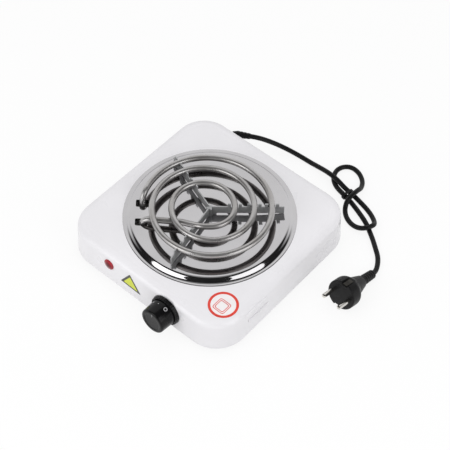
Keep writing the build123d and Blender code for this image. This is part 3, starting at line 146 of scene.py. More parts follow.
class HotplateSizes(bpy.types.PropertyGroup):
    """Sizes of the pieces that are surfaces of their own."""

    cover_width: length("Cover width", "Width of the cover along its lower edge", 0.219)
    cover_corner: length("Cover corner", "Radius of the cover's corners, seen from above", 0.036)
    cover_height: length("Cover height", "Height of the cover from lower edge to top", 0.038)
    cover_sheet: length("Cover sheet", "Thickness of the cover's steel sheet", 0.0009)
    wall_lean: FloatProperty(
        name="Wall lean",
        description="Angle that the cover's walls lean inwards",
        default=math.radians(3.9),
        subtype="ANGLE",
    )
    shoulder_run: length("Shoulder run", "How far from the wall the shoulder meets the top", 0.0099)
    shoulder_drop: length("Shoulder drop", "How far below the top the shoulder starts", 0.0072)
    crease_depth: length("Crease depth", "Depth of the pressed crease round the top", 0.00022)
    opening_radius: length("Opening radius", "Radius of the opening under the reflector", 0.080)
    foot_height: length("Foot height", "Height of the cover's lower edge above the floor", 0.007)
    reflector_floor: length("Reflector floor", "Radius of the reflector's flat floor", 0.050)
    reflector_crown: length("Reflector crown", "Radius where the dish meets the slope", 0.0815)
    reflector_foot: length("Reflector foot", "Radius where the slope meets the lip", 0.0884)
    reflector_lip: length("Reflector lip", "Outer radius of the reflector's lip", 0.091)
    floor_rise: length("Floor rise", "Rise of the reflector's floor above the cover's top", 0.0018)
    crown_rise: length("Crown rise", "Height of the crown above the cover's top", 0.0039)
    knob_radius: length("Knob radius", "Radius of the knob at its base", 0.0149)
    knob_face: length("Knob face", "Height of the knob's face above the wall", 0.0216)
    ring_radius: length("Ring radius", "Outer radius of the ring behind the knob", 0.0176)
    lens_radius: length("Lens radius", "Radius of the indicator lens", 0.0062)
    plug_radius: length("Plug radius", "Radius of the plug's disc", 0.0166)
    plug_neck: length("Plug neck", "Length of the plug from its face to its boot", 0.035)
    boot_length: length("Boot length", "Length of the plug's ribbed boot", 0.019)
    cord_diameter: length("Cord diameter", "Diameter of the mains cord", 0.0055)
    cord_length: length("Cord length", "Length of the mains cord outside the housing", 0.4937)
    mark_radius: length("Round mark radius", "Radius of the round mark on the top", 0.0155)


class HotplateColours(bpy.types.PropertyGroup):
    """Colours of the main finishes."""

    enamel: colour("Enamel", "White enamel of the cover", (0.800, 0.790, 0.815))
    chrome: colour("Chrome", "Chromed steel of the reflector", (0.548, 0.539, 0.550))
    coil: colour("Coil", "Steel sheath of the heating coil", (0.470, 0.461, 0.459))
    arms: colour("Arms", "Steel strips that carry the coil", (0.480, 0.485, 0.490))
    black: colour("Black plastic", "Knob, ring, plug and boots", (0.0040, 0.0040, 0.0043))
    cord: colour("Cord", "Sheath of the mains cord", (0.0050, 0.0050, 0.0052))
    lens: colour("Lens", "Red plastic of the indicator lens", (0.400, 0.014, 0.028))
    mark_red: colour("Mark red", "Ring of the round mark", (0.720, 0.045, 0.024))
    mark_pale: colour("Mark pale", "Field of the round mark", (0.860, 0.825, 0.830))
    mark_yellow: colour("Mark yellow", "Field of the triangle mark", (0.660, 0.720, 0.040))


def settings(context):
    """The sizes and colours that a user may change."""
    return context.scene.hotplate_sizes, context.scene.hotplate_colours


# Finishes: shared node groups, a function that puts them round a shader, and tables of values


def feed(tree, node, sockets):
    """Gives a node's sockets, by name or number, plain values or links from other sockets."""
    for label, value in dict(sockets).items():
        if isinstance(value, bpy.types.NodeSocket):
            tree.links.new(value, node.inputs[label])
        else:
            node.inputs[label].default_value = value


def add_node(tree, kind, sockets=(), **choices):
    """A shader node with its own choices and what feeds its sockets."""
    node = tree.nodes.new(f"ShaderNode{kind}")
    for label, value in choices.items():
        setattr(node, label, value)
    feed(tree, node, sockets)
    return node


def ramp(tree, value, start, end, low=0.0, high=1.0, shape="LINEAR"):
    """A value mapped to low at start and high at end."""
    sockets = {"Value": value, "From Min": start, "From Max": end, "To Min": low, "To Max": high}
    return add_node(tree, "MapRange", sockets, interpolation_type=shape).outputs["Result"]


def mix(tree, share, first, second, how="MIX"):
    """Two colours mixed by a share."""
    sockets = {"Factor": share, "A": first, "B": second}
    node = add_node(tree, "Mix", sockets, data_type="RGBA", blend_type=how)
    return next(socket for socket in node.outputs if socket.type == "RGBA")


def maths(tree, operation, *values):
    """The result of an operation on values or sockets."""
    return add_node(tree, "Math", enumerate(values), operation=operation).outputs[0]


def seen_rays(tree):
    """1 for the rays that see the background: from the camera, off metal and through glass."""
    path = add_node(tree, "LightPath").outputs
    straight = maths(tree, "MAXIMUM", path["Is Camera Ray"], path["Is Transmission Ray"])
    return maths(tree, "MAXIMUM", straight, path["Is Glossy Ray"])


def shader_of(material):
    """A material's own shader."""
    return next(node for node in material.node_tree.nodes if node.type == "BSDF_PRINCIPLED")


def new_group(name, output, kind, **inputs):
    """An empty shader node group with one output: the group, what comes in, and its last node."""
    group = bpy.data.node_groups.new(name, "ShaderNodeTree")
    for label, default in inputs.items():
        sort = "NodeSocketFloat" if isinstance(default, float) else "NodeSocketColor"
        socket = group.interface.new_socket(name=label, in_out="INPUT", socket_type=sort)
        socket.default_value = default
    group.interface.new_socket(name=output, in_out="OUTPUT", socket_type=kind)
    start, end = group.nodes.new("NodeGroupInput"), group.nodes.new("NodeGroupOutput")
    return group, start.outputs, end


def object_noise(group, scale, detail, factor=1.0):
    """Noise over the piece's own coordinates, its scale taken from a socket and a factor."""
    place = add_node(group, "TexCoord").outputs["Object"]
    size = maths(group, "MULTIPLY", scale, factor)
    noise = add_node(group, "TexNoise", {"Vector": place, "Scale": size, "Detail": detail})
    return noise.outputs["Fac"]


def mottle_group():
    """Two colours mixed by soft patches: the share is noise stretched from 0.35..0.65 to 0..1."""
    light, dark = (0.8, 0.8, 0.8, 1), (0.7, 0.7, 0.7, 1)
    group, start, end = new_group(
        "mottle", "Color", "NodeSocketColor", First=light, Second=dark, Scale=40.0
    )
    share = ramp(group, object_noise(group, start["Scale"], 4.0), 0.35, 0.65)
    feed(group, end, {"Color": mix(group, share, start["First"], start["Second"])})
    return group


def uneven_group():
    """A value between Low and High that follows soft patches, for handled and wiped surfaces."""
    group, start, end = new_group(
        "uneven", "Value", "NodeSocketFloat", Scale=80.0, Low=0.3, High=0.5
    )
    noise = object_noise(group, start["Scale"], 5.0)
    feed(group, end, {"Value": ramp(group, noise, 0.3, 0.7, start["Low"], start["High"])})
    return group


def grain_group():
    """A height for bump: noise at one scale plus a share of noise at 3.7 times that scale."""
    group, start, end = new_group("grain", "Height", "NodeSocketFloat", Scale=600.0, Fine=0.5)
    coarse = object_noise(group, start["Scale"], 2.0)
    fine = object_noise(group, start["Scale"], 2.0, 3.7)
    feed(group, end, {"Height": maths(group, "MULTIPLY_ADD", fine, start["Fine"], coarse)})
    return group


def place_group(tree, name, make, **sockets):
    """The output of a shared group, made the first time, with a material's own values."""
    group = bpy.data.node_groups.get(name) or make()
    return add_node(tree, "Group", sockets, node_tree=group).outputs[0]


def finish(name, first, second, patch, rough, grain, bump, sockets=(), change=None):
    """A material: patchy colour, uneven gloss and a fine grain round one shader.

    Further values are set on the shader's own sockets, and change(tree, tint) gives a new colour.
    """
    material = bpy.data.materials.get(name)
    if material:
        return material
    material = bpy.data.materials.new(name)
    material.use_nodes = True
    tree, shader = material.node_tree, shader_of(material)
    low, high = rough
    tint = place_group(
        tree, "mottle", mottle_group, First=(*first, 1), Second=(*second, 1), Scale=patch
    )
    if change:
        tint = change(tree, tint)
    gloss = place_group(tree, "uneven", uneven_group, Scale=1.7 * patch, Low=low, High=high)
    height = place_group(tree, "grain", grain_group, Scale=grain)
    bumps = {"Strength": bump, "Distance": 0.0004, "Height": height}
    relief = add_node(tree, "Bump", bumps).outputs["Normal"]
    feed(tree, shader, {"Base Color": tint, "Roughness": gloss, "Normal": relief})
    feed(tree, shader, sockets)
    return material


def shade(base, factor):
    """A colour made darker or lighter by a factor."""
    return tuple(min(1.0, part * factor) for part in base)


def painted_shade_in_mirror(tree, tint):
    """Painted shade: a colour that is darker where the chrome mirrors it, for the coil's shaded
    underside seen in the reflector.
    """
    mirrored = add_node(tree, "LightPath").outputs["Is Glossy Ray"]
    return mix(tree, mirrored, tint, (0.46, 0.44, 0.43, 1), "MULTIPLY")


def painted_shade_middle(tree, tint):
    """The lens's colour with painted shade: dark in the middle and brighter to the rim."""
    sizes, colours = settings(bpy.context)
    middle, axes = wall_seat(FRONT, *LAMP_PLACE, sizes)
    radius = sizes.lens_radius
    place = add_node(tree, "TexCoord").outputs["Object"]
    shift = -(middle + axes[2] * 2.0) * MM
    centred = add_node(tree, "Mapping", {"Vector": place, "Location": shift}).outputs["Vector"]
    away = add_node(tree, "VectorMath", {0: centred}, operation="LENGTH").outputs["Value"]
    share = ramp(tree, away, 0.15 * radius, 0.95 * radius, shape="SMOOTHSTEP")
    return mix(tree, share, (*shade(colours.lens, 0.22), 1), tint)


# Finishes of the pieces with a colour of their own, by slot: name, colour, second colour or its
# factor, patch scale, gloss range, grain scale, bump strength, values of the shader's own sockets,
# and a change to the colour where there is one
OWN_FINISHES = {
    # hardly any patchiness, a faint orange peel and a soft gloss
    "cover_enamel": (
        "white_enamel", "enamel", 0.955, 16.0, (0.26, 0.36), 420.0, 0.05, {"Coat Weight": 0.25}
    ),
    # bright, with a slightly wavy, wiped surface
    "reflector_chrome": (
        "bright_chrome", "chrome", 0.93, 26.0, (0.045, 0.10), 60.0, 0.02, {"Metallic": 1.0}
    ),
    # stamped strip with a rolled grain
    "support_steel": (
        "strip_steel", "arms", 0.75, 70.0, (0.38, 0.52), 700.0, 0.12, {"Metallic": 0.6}
    ),
    # moulded, with a soft gloss
    "knob_plastic": (
        "black_plastic", "black", 1.5, 90.0, (0.10, 0.17), 1400, 0.05, {"Specular IOR Level": 0.18}
    ),
    # moulded, duller than the knob
    "plug_black": (
        "plug_plastic", "black", 1.9, 110.0, (0.34, 0.48), 1100.0, 0.16, {"Specular IOR Level": 0.2}
    ),
    # a flexible sheath with a faint drawn grain
    "cord_black": (
        "cord_sheath", "cord", 1.7, 70.0, (0.34, 0.48), 1000.0, 0.12, {"Specular IOR Level": 0.2}
    ),
    # a steel sheath, browned a little by heat in patches, with painted shade where the chrome
    # mirrors it
    "coil_steel": (
        "coil_sheath", "coil", (0.395, 0.381, 0.372), 44.0, (0.25, 0.36), 900.0, 0.10,
        {"Metallic": 0.88}, painted_shade_in_mirror,
    ),
    # deep red with a polished skin, and painted shade towards its middle
    "lens_red": (
        "red_lens", "lens", 0.7, 220.0, (0.12, 0.20), 700.0, 0.03,
        {"Specular IOR Level": 0.3}, painted_shade_middle,
    ),
}


def own_finish(slot, colours):
    """The finish of a slot that has a colour of its own."""
    name, tint, second, *values = OWN_FINISHES[slot]
    base = getattr(colours, tint)
    if not isinstance(second, tuple):
        second = shade(base, second)
    return finish(name, base, second, *values)


def print_finish(name, first, second, patch=120.0):
    """A thin print with a soft gloss and hardly any grain."""
    return finish(name, first, second, patch, (0.3, 0.42), 900.0, 0.04)


def knob_print(name, first, second):
    """A dull print on the knob."""
    return finish(name, first, second, 300.0, (0.4, 0.55), 900.0, 0.05)


# Finishes of the nodes that keep their own shape, by slot: first and second colour, patch scale,
# gloss range, grain scale, bump strength, metallic
CARRIED_FINISHES = {
    "base_steel": ((0.56, 0.57, 0.58), (0.44, 0.45, 0.47), 90, (0.34, 0.52), 300, 0.1, 1.0),
    "zinc_steel": ((0.6, 0.6, 0.58), (0.47, 0.48, 0.48), 150, (0.26, 0.42), 700, 0.08, 1.0),
    "brass": ((0.66, 0.47, 0.19), (0.5, 0.34, 0.12), 140, (0.22, 0.36), 700, 0.08, 1.0),
    "pin_nickel": ((0.72, 0.7, 0.66), (0.6, 0.58, 0.55), 160, (0.14, 0.26), 900, 0.05, 1.0),
    # painted shade: the plug's earth clips, painted near black for the shade of their slots
    "dull_clip": ((0.06, 0.057, 0.052), (0.035, 0.033, 0.03), 160, (0.35, 0.5), 900, 0.1, 1.0),
    "ceramic": ((0.74, 0.7, 0.62), (0.62, 0.57, 0.49), 180, (0.45, 0.62), 900, 0.2, 0.0),
    # painted shade: the coil's bushes, painted near black for the shade of the slots under the
    # reflector
    "dark_ceramic": ((0.045, 0.04, 0.036), (0.028, 0.025, 0.022), 180, (0.45, 0.62), 900, 0.2, 0.0),
    "foot_rubber": ((0.03, 0.03, 0.031), (0.018, 0.018, 0.018), 120, (0.62, 0.8), 900, 0.25, 0.0),
    "lamp_plastic": ((0.62, 0.6, 0.56), (0.52, 0.5, 0.46), 90, (0.36, 0.5), 900, 0.08, 0.0),
    "block_plastic": ((0.76, 0.74, 0.7), (0.66, 0.64, 0.6), 90, (0.4, 0.54), 900, 0.1, 0.0),
    "wire_sleeve": ((0.7, 0.68, 0.62), (0.56, 0.53, 0.47), 260, (0.6, 0.78), 2400, 0.35, 0.0),
    "wire_brown": ((0.115, 0.05, 0.022), (0.08, 0.034, 0.015), 120, (0.36, 0.5), 1200, 0.1, 0.0),
    "wire_blue": ((0.022, 0.09, 0.33), (0.015, 0.062, 0.24), 120, (0.36, 0.5), 1200, 0.1, 0.0),
    "wire_green": ((0.06, 0.27, 0.045), (0.6, 0.52, 0.03), 160, (0.36, 0.5), 1200, 0.1, 0.0),
}

# Nodes that sit in shade, painted darker than the others of their slot as painted shade, and the
# finish they take
PAINTED_SHADE_NODES = {
    "coil_bush_1": "dark_ceramic", "coil_bush_2": "dark_ceramic", "plug_earth_clips": "dull_clip"
}


# Shapes: grids of points worked out as whole arrays


def soft_line(points, soft, steps=7):
    """An open line whose corners are rounded.

    Each corner becomes a quadratic curve from soft before it to soft after it:
    (1-t)^2 a + 2t(1-t) corner + t^2 b.
    """
    points = np.asarray(points, float)
    soft = np.broadcast_to(np.asarray(soft, float), len(points) - 2)[:, None]
    before, here, after = points[:-2], points[1:-1], points[2:]
    back, on = before - here, after - here
    a = here + back / np.linalg.norm(back, axis=1, keepdims=True) * soft
    b = here + on / np.linalg.norm(on, axis=1, keepdims=True) * soft
    t = np.linspace(0, 1, steps)[None, :, None]
    curves = (1 - t) ** 2 * a[:, None] + 2 * t * (1 - t) * here[:, None] + t**2 * b[:, None]
    return np.concatenate([points[:1], curves.reshape(-1, points.shape[1]), points[-1:]])


def unit_circle(angle):
    """Points of the unit circle at angles."""
    return np.stack([np.cos(angle), np.sin(angle)], axis=-1)


def full_turn(count):
    """Angles once round, as a row."""
    return np.linspace(0, 2 * np.pi, count, endpoint=False)[None, :]


def level_way(angle):
    """The level direction at an angle from +X."""
    return np.array([math.cos(angle), math.sin(angle), 0.0])


def wall_seat(side, along, rise, sizes):
    """Where a piece sits on a leaning wall: the spot, and rows of right, up along it and out."""
    cos, sin = math.cos(sizes.wall_lean), math.sin(sizes.wall_lean)
    out = np.array(side, float)
    right = np.cross(UP, out)
    spot = out * (sizes.cover_width / MM / 2 - rise * sin) + right * along
    spot = spot + UP * (sizes.foot_height / MM + rise * cos)
    return spot, np.stack([right, UP * cos - out * sin, out * cos + UP * sin])


def seated(local, seat):
    """Points in a seat's right, up and out turned into points of the frame."""
    spot, axes = seat
    return spot + local @ axes


def turned_grid(profile, seat, columns, change=None):
    """A profile of (radius, height) points turned about the seat's third axis.

    A point is radius cos(a), radius sin(a), height, and change(angle, radius, height) gives a new
    radius where the piece isn't round.
    """
    profile = np.asarray(profile, float)
    angle = full_turn(columns)
    radius = np.repeat(profile[:, :1], columns, axis=1)
    height = np.repeat(profile[:, 1:], columns, axis=1)
    if change:
        radius = change(angle, radius, height)
    return seated(np.stack([radius * np.cos(angle), radius * np.sin(angle), height], axis=-1), seat)


def capsule(rows, columns, power):
    """A flat capsule's coordinates, each from -1 to 1: along it, across it and through it.

    Along it is sin(u), and the others are cos(u)^power times cos(v) and sin(v).
    """
    u = np.linspace(-np.pi / 2, np.pi / 2, rows)[:, None]
    v = full_turn(columns)
    girth = np.where(np.cos(u) > 1e-9, np.abs(np.cos(u)) ** power, 0)
    return np.broadcast_to(np.sin(u), (rows, columns)), girth * np.cos(v), girth * np.sin(v)


def square_round(angle, power):
    """A unit superellipse: sgn(cos a)|cos a|^power and sgn(sin a)|sin a|^power."""
    cos, sin = np.cos(angle), np.sin(angle)
    return np.sign(cos) * np.abs(cos) ** power, np.sign(sin) * np.abs(sin) ** power


def mesh_from_grid(name, grid, wrap_rows=False, wrap_columns=True, sharp=35.0):
    """Quads between the neighbours of a grid of points in millimetres, as a mesh in metres.

    Rows or columns join up where they wrap, points that coincide at a pole become one, and faces
    point outwards.
    """
    rows, columns = grid.shape[:2]
    index = np.arange(rows * columns).reshape(rows, columns)
    if wrap_rows:
        index = np.concatenate([index, index[:1]])
    if wrap_columns:
        index = np.concatenate([index, index[:, :1]], axis=1)
    quads = np.stack(
        [index[:-1, :-1], index[1:, :-1], index[1:, 1:], index[:-1, 1:]], axis=-1
    ).reshape(-1, 4)
    mesh = bpy.data.meshes.new(name)
    mesh.from_pydata(grid.reshape(-1, 3) * MM, [], quads)
    tidy_mesh(mesh, sharp)
    return mesh


def tidy_mesh(mesh, sharp):
    """Merges points that coincide, turns faces outwards and shades smoothly up to an angle."""
    form = bmesh.new()
    form.from_mesh(mesh)
    bmesh.ops.remove_doubles(form, verts=form.verts, dist=1e-7)
    bmesh.ops.dissolve_degenerate(form, edges=form.edges, dist=1e-8)
    bmesh.ops.recalc_face_normals(form, faces=form.faces)
    form.to_mesh(mesh)
    form.free()
    mesh.shade_smooth()
    mesh.set_sharp_from_angle(angle=math.radians(sharp))


def add_piece(name, data, material, body, slot, *stands_for):
    """Puts a mesh or curve into the scene as a piece that rides on a body."""
    piece = bpy.data.objects.new(name, data)
    bpy.context.scene.collection.objects.link(piece)
    piece.data.materials.append(material)
    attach(piece, body)
    if stands_for:
        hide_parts(*stands_for)
    return piece


def add_grid(name, grid, material, body, slot, *stands_for, **how):
    """Makes a grid of points into a piece that rides on a body."""
    mesh = mesh_from_grid(name, grid, **how)
    return add_piece(name, mesh, material, body, slot, *stands_for)


def cut_out(mesh, cutters, sharp=35.0):
    """Cuts closed meshes out of a mesh and gives back the mesh that is left."""
    whole, *tools = (bpy.data.objects.new(f"cut_{part.name}", part) for part in (mesh, *cutters))
    for part in (whole, *tools):
        bpy.context.scene.collection.objects.link(part)
    for tool in tools:
        cut = whole.modifiers.new(tool.name, "BOOLEAN")
        cut.operation, cut.solver, cut.object = "DIFFERENCE", "EXACT", tool
    bpy.context.view_layer.update()
    shape = whole.evaluated_get(bpy.context.evaluated_depsgraph_get())
    result = bpy.data.meshes.new_from_object(shape)
    for helper in (whole, *tools):
        bpy.data.objects.remove(helper)
    result.name = mesh.name
    result.shade_smooth()
    result.set_sharp_from_angle(angle=math.radians(sharp))
    return result


# Cover


def cover_outline(sizes, arc_steps=22, side_steps=14):
    """The cover's lower edge from above: points and outward normals of a square with round corners.

    Each corner is centre + radius (cos a, sin a), and each side runs straight to the next corner.
    """
    half = sizes.cover_width / MM / 2
    radius = sizes.cover_corner / MM
    quarter = np.arange(4)[:, None]
    angle = quarter * np.pi / 2 + np.linspace(0, np.pi / 2, arc_steps)[None, :]
    normal = unit_circle(angle)
    middle = np.sign(unit_circle((quarter + 0.5) * np.pi / 2)) * (half - radius)
    arcs = middle + radius * normal
    share = np.linspace(0, 1, side_steps + 2)[1:-1][None, :, None]
    sides = arcs[:, -1:] * (1 - share) + np.roll(arcs, -1, axis=0)[:, :1] * share
    side_normals = np.repeat(normal[:, -1:], side_steps, axis=1)
    points = np.concatenate([arcs, sides], axis=1).reshape(-1, 2)
    normals = np.concatenate([normal, side_normals], axis=1).reshape(-1, 2)
    return points, normals


def cover_section(sizes, sheet=0.0):
    """The cover's section as rows of (inset from the lower edge, height), from the wall to the top.

    The wall is straight, the shoulder is the conic ((1-t)^2 a + 2w t(1-t) b + t^2 c) / weight
    between wall and top, and the crease is a dip of depth exp(-(x/width)^2) where they meet.
    """
    foot = sizes.foot_height / MM
    top = foot + sizes.cover_height / MM - sheet
    slope = math.tan(sizes.wall_lean)
    start = top - sizes.shoulder_drop / MM
    corner = np.array([(top - foot) * slope + sheet, top])
    below = np.array([(start - foot) * slope + sheet, start])
    inner = np.array([(sizes.cover_height / MM) * slope + sizes.shoulder_run / MM, top])
    wall_height = np.linspace(foot + 0.3, start, 9)[:-1]
    wall = np.stack([(wall_height - foot) * slope + sheet, wall_height], axis=-1)
    t = np.linspace(0, 1, 22)[:, None]
    weight = 0.86
    shoulder = (1 - t) ** 2 * below + 2 * weight * t * (1 - t) * corner + t**2 * inner
    shoulder = shoulder / ((1 - t) ** 2 + 2 * weight * t * (1 - t) + t**2)
    flat_inset = inner[0] + np.linspace(0, 4.5, 11)[1:]
    flat = np.stack([flat_inset, np.full_like(flat_inset, top)], axis=-1)
    section = np.concatenate([wall, shoulder, flat])
    crease, width = 0.6, 1.3
    dip = np.exp(-(((section[:, 0] - inner[0] - crease) / width) ** 2))
    dip = sizes.crease_depth / MM * dip
    section[:, 1] -= np.where(section[:, 1] > start, dip, 0)
    return section


def cover_height(x, y, sizes):
    """The height of the cover's outside over points of the plan, from their inset from its edge."""
    half = sizes.cover_width / MM / 2
    radius = sizes.cover_corner / MM
    across = np.abs(np.stack([x, y], axis=-1)) - (half - radius)
    outside = np.linalg.norm(np.maximum(across, 0), axis=-1)
    inset = radius - outside - np.minimum(across.max(axis=-1), 0)
    section = cover_section(sizes)
    return np.interp(inset, section[:, 0], section[:, 1])


def cover_grid(sizes):
    """The pressed cover as a closed shell: its section carried round the outline.

    A row is the outline moved in by the row's inset. On the top the rows blend in straight lines to
    the circle of the opening, and the inside goes back the same way, one sheet lower.
    """
    points, normals = cover_outline(sizes)
    outside = cover_section(sizes)
    inside = cover_section(sizes, sizes.cover_sheet / MM)[::-1]
    foot = sizes.foot_height / MM
    sheet = sizes.cover_sheet / MM
    hem_out = np.array([[0.25, foot], [0.06, foot + 0.06]])
    hem_in = np.array([[sheet - 0.06, foot + 0.06], [sheet - 0.25, foot]])
    across = np.linspace(0, 1, 9)[1:, None]
    no_share = ((0, 0), (0, 1))
    rows = np.concatenate(
        [
            np.pad(np.concatenate([hem_out, outside]), no_share),
            np.concatenate([np.tile(outside[-1], (8, 1)), across], axis=1),
            np.concatenate([np.tile(inside[0], (8, 1)), across[::-1]], axis=1),
            np.pad(np.concatenate([inside, hem_in]), no_share),
        ]
    )
    inset, height, share = (rows[:, i, None, None] for i in range(3))
    edge = points[None] - inset * normals[None]
    bearing = np.arctan2(points[:, 1], points[:, 0])
    circle = sizes.opening_radius / MM * unit_circle(bearing)
    plan = (1 - share) * edge + share * circle[None]
    return np.concatenate([plan, np.broadcast_to(height, (len(rows), len(points), 1))], axis=-1)


def round_cutter(name, seat, radius, low, high):
    """A closed round bar along a seat's third axis, for cutting a hole."""
    profile = ((0, low), (radius, low), (radius, high), (0, high))
    return mesh_from_grid(name, turned_grid(profile, seat, 48))


class HOTPLATE_OT_cover(bpy.types.Operator):
    """Make the enamelled cover with its holes, and the two pressed louvres on its right wall"""

    bl_idname = "hotplate.cover"
    bl_label = "Cover"

    def execute(self, context):
        sizes, colours = settings(context)
        shell = mesh_from_grid("cover_shell", cover_grid(sizes), wrap_rows=True)
        depth = 4
        cutters = [
            round_cutter(name, wall_seat(side, *place, sizes), radius, -depth, depth)
            for name, side, place, radius in (
                ("knob_hole", FRONT, KNOB_PLACE, 5.1),
                ("lamp_hole", FRONT, LAMP_PLACE, 4.7),
                ("cord_hole", BACK, GLAND_PLACE, 4.5),
            )
        ]
        enamel = own_finish("cover_enamel", colours)
        shell = cut_out(shell, cutters)
        add_piece("cover_shell", shell, enamel, "housing", "cover_enamel", "top_cover")
        for number, place in enumerate(LOUVRE_PLACES, 1):
            grid = self.louvre_grid(wall_seat(RIGHT, *place, sizes))
            add_grid(f"wall_louvre_{number}", grid, enamel, "housing", "cover_enamel")
        return {"FINISHED"}

    def louvre_grid(self, seat):
        """A flat capsule half sunk in the wall."""
        return seated(np.stack(capsule(33, 24, 0.35), axis=-1) * np.array(LOUVRE_HALF), seat)


# Reflector


class HOTPLATE_OT_reflector(bpy.types.Operator):
    """Make the chromed reflector with its shallow dish and the slots for the coil's legs"""

    bl_idname = "hotplate.reflector"
    bl_label = "Reflector"

    def execute(self, context):
        sizes, colours = settings(context)
        seat = (np.zeros(3), np.eye(3))
        plate = mesh_from_grid(
            "reflector_pan", turned_grid(self.section(sizes), seat, 256), wrap_rows=True, sharp=60
        )
        cos, sin = math.cos(COIL_TURN), math.sin(COIL_TURN)
        axes = np.array([[cos, sin, 0], [-sin, cos, 0], [0, 0, 1]])
        level = (sizes.foot_height + sizes.cover_height + sizes.floor_rise) / MM
        slots = [
            self.slot_cutter(f"leg_slot_{number}", (np.array([*place, level]) @ axes, axes))
            for number, place in enumerate(LEG_PLACES)
        ]
        plate = cut_out(plate, slots, 60)
        chrome = own_finish("reflector_chrome", colours)
        add_piece("reflector_pan", plate, chrome, "housing", "reflector_chrome", "reflector_plate")
        return {"FINISHED"}

    def section(self, sizes):
        """A closed section of (radius, height): floor, dish, slope and lip, then the underside.

        The dish is a straight rise with its ends rounded, and the slope is half a cosine wave.
        """
        top = (sizes.foot_height + sizes.cover_height) / MM
        sheet, bore = 0.6, 3.3
        floor, crown = top + sizes.floor_rise / MM, top + sizes.crown_rise / MM
        lip_top = top + sheet / 4
        edge, brim, foot, rim = (
            getattr(sizes, f"reflector_{ring}") / MM for ring in ("floor", "crown", "foot", "lip")
        )
        dish = soft_line(
            ((bore, floor), (edge, floor), (brim - 1.2, crown), (brim, crown)), (9.0, 1.1), 17
        )
        wave = np.linspace(0, 1, 29)[1:]
        fall = (1 - np.cos(np.pi * wave)) / 2
        slope = np.stack([brim + (foot - brim) * wave, crown - (crown - lip_top) * fall], axis=-1)
        lip = np.array([[foot + 1.2, lip_top], [rim - 0.08, lip_top], [rim, lip_top - 0.08]])
        upper = np.concatenate([dish, slope, lip])
        lower = upper[:-1][::-3] - np.array([0, sheet])
        return np.concatenate([upper, lower, upper[:1] - np.array([0, sheet])])

    def slot_cutter(self, name, seat):
        """A closed block with rounded corners, for cutting a slot."""
        count = 48
        along, across = square_round(full_turn(count), 0.22)
        scale = np.array([0.0, 1.0, 1.0, 0.0])[:, None]
        height = np.repeat(np.array([-1.0, -1.0, 1.0, 1.0])[:, None], count, axis=1)
        local = np.stack([scale * along, scale * across, height], axis=-1) * np.array(SLOT_HALF)
        return mesh_from_grid(name, seated(local, seat))


# Knob, lamp and marks


class HOTPLATE_OT_knob(bpy.types.Operator):
    """Make the knob with its pointer and marks, and the ring behind it"""

    bl_idname = "hotplate.knob"
    bl_label = "Knob"

    def execute(self, context):
        sizes, colours = settings(context)
        seat = wall_seat(FRONT, *KNOB_PLACE, sizes)
        black = own_finish("knob_plastic", colours)
        base, face, skirt = sizes.knob_radius / MM, sizes.knob_face / MM, KNOB_SKIRT
        dip, boss, spindle, depth = 0.5, 6, 3.05, 16.1
        body = soft_line(
            (
                (0, face - dip), (9.6, face - dip), (10.3, face), (base - KNOB_TAPER, face),
                (base, skirt), (base - 2, skirt), (base - 2.8, face - 2), (boss, face - 2),
                (boss, skirt), (spindle, skirt), (spindle, depth), (0, depth),
            ),
            (0.3, 0.3, 2.2, 0.3, 0.2, 0.3, 0.3, 0.2, 0.2, 0.2),
        )
        grid = turned_grid(body, seat, 120)
        add_grid("knob_cap", grid, black, "knob", "knob_plastic", "control_knob")
        rim, bore, well, shelf, rise = sizes.ring_radius / MM, 8.4, base + 0.6, 3.0, 4.2
        line = soft_line(
            (
                (bore, 0.5), (bore, 0), (rim, 0), (rim - 0.8, rise),
                (well, rise), (well, shelf), (bore, shelf), (bore, 0.5),
            ),
            (0.1, 0.2, 0.8, 0.4, 0.2, 0.2),
        )
        grid = turned_grid(line, seat, 288, self.serrated)
        add_grid("knob_ring", grid, black, "housing", "knob_plastic", "knob_bezel", wrap_rows=True)
        grey = knob_print("grey_print", (0.15, 0.15, 0.155), (0.11, 0.11, 0.115))
        add_grid("knob_pointer", self.pointer_grid(seat, face), grey, "knob", "knob_plastic")
        self.add_marks(seat, base, face)
        return {"FINISHED"}

    def serrated(self, angle, radius, height):
        """36 shallow notches round the ring's outer edge: radius - 0.35 f max(0, cos(36 a))^2.

        The share f fades in outwards from a radius of 16.4 and upwards from a height of 0.3.
        """
        outer = np.clip((radius - 16.4) / 0.3, 0, 1) * np.clip((height - 0.3) / 0.5, 0, 1)
        return radius - 0.35 * outer * np.maximum(0, np.cos(36 * angle)) ** 2

    def pointer_grid(self, seat, face):
        """A printed dash on the knob's face, a flat capsule from the rim towards the middle."""
        along, across, out = capsule(17, 16, 0.3)
        width, middle, reach, lift, thickness = 0.65, 10.2, 2.0, 0.02, 0.09
        height = face + lift + thickness * out
        return seated(np.stack([width * across, middle + reach * along, height], axis=-1), seat)

    def add_marks(self, seat, base, face):
        """Printed marks round the knob's side: an open ring at rest, then dots that grow."""
        pale = knob_print("pale_print", (0.40, 0.40, 0.41), (0.32, 0.32, 0.33))
        bearing = np.radians([66.0, 104.0, 132.0, 160.0, 188.0, 216.0])
        size = np.array([2.1, 0.55, 0.7, 0.85, 1.0, 1.15])
        height, sink, lift, hollow = 8.2, 0.15, 0.04, 0.62
        lean = KNOB_TAPER / (face - KNOB_SKIRT)
        side = base - lean * (height - KNOB_SKIRT)
        for number, (way, radius) in enumerate(zip(bearing, size)):
            out, round_it = level_way(way), level_way(way + math.pi / 2)
            on_side = np.stack([UP - lean * out, out + lean * UP]) / math.hypot(1, lean)
            axes = np.stack([round_it, *on_side]) @ seat[1]
            spot = seated(out * side + UP * height, seat)
            inner = hollow * radius if number == 0 else 0.0
            profile = ((inner, -sink), (radius, -sink), (radius, lift), (inner, lift))
            grid = turned_grid(profile, (spot, axes), 28)
            name = f"knob_mark_{number}"
            add_grid(name, grid, pale, "knob", "knob_plastic", wrap_rows=number == 0)


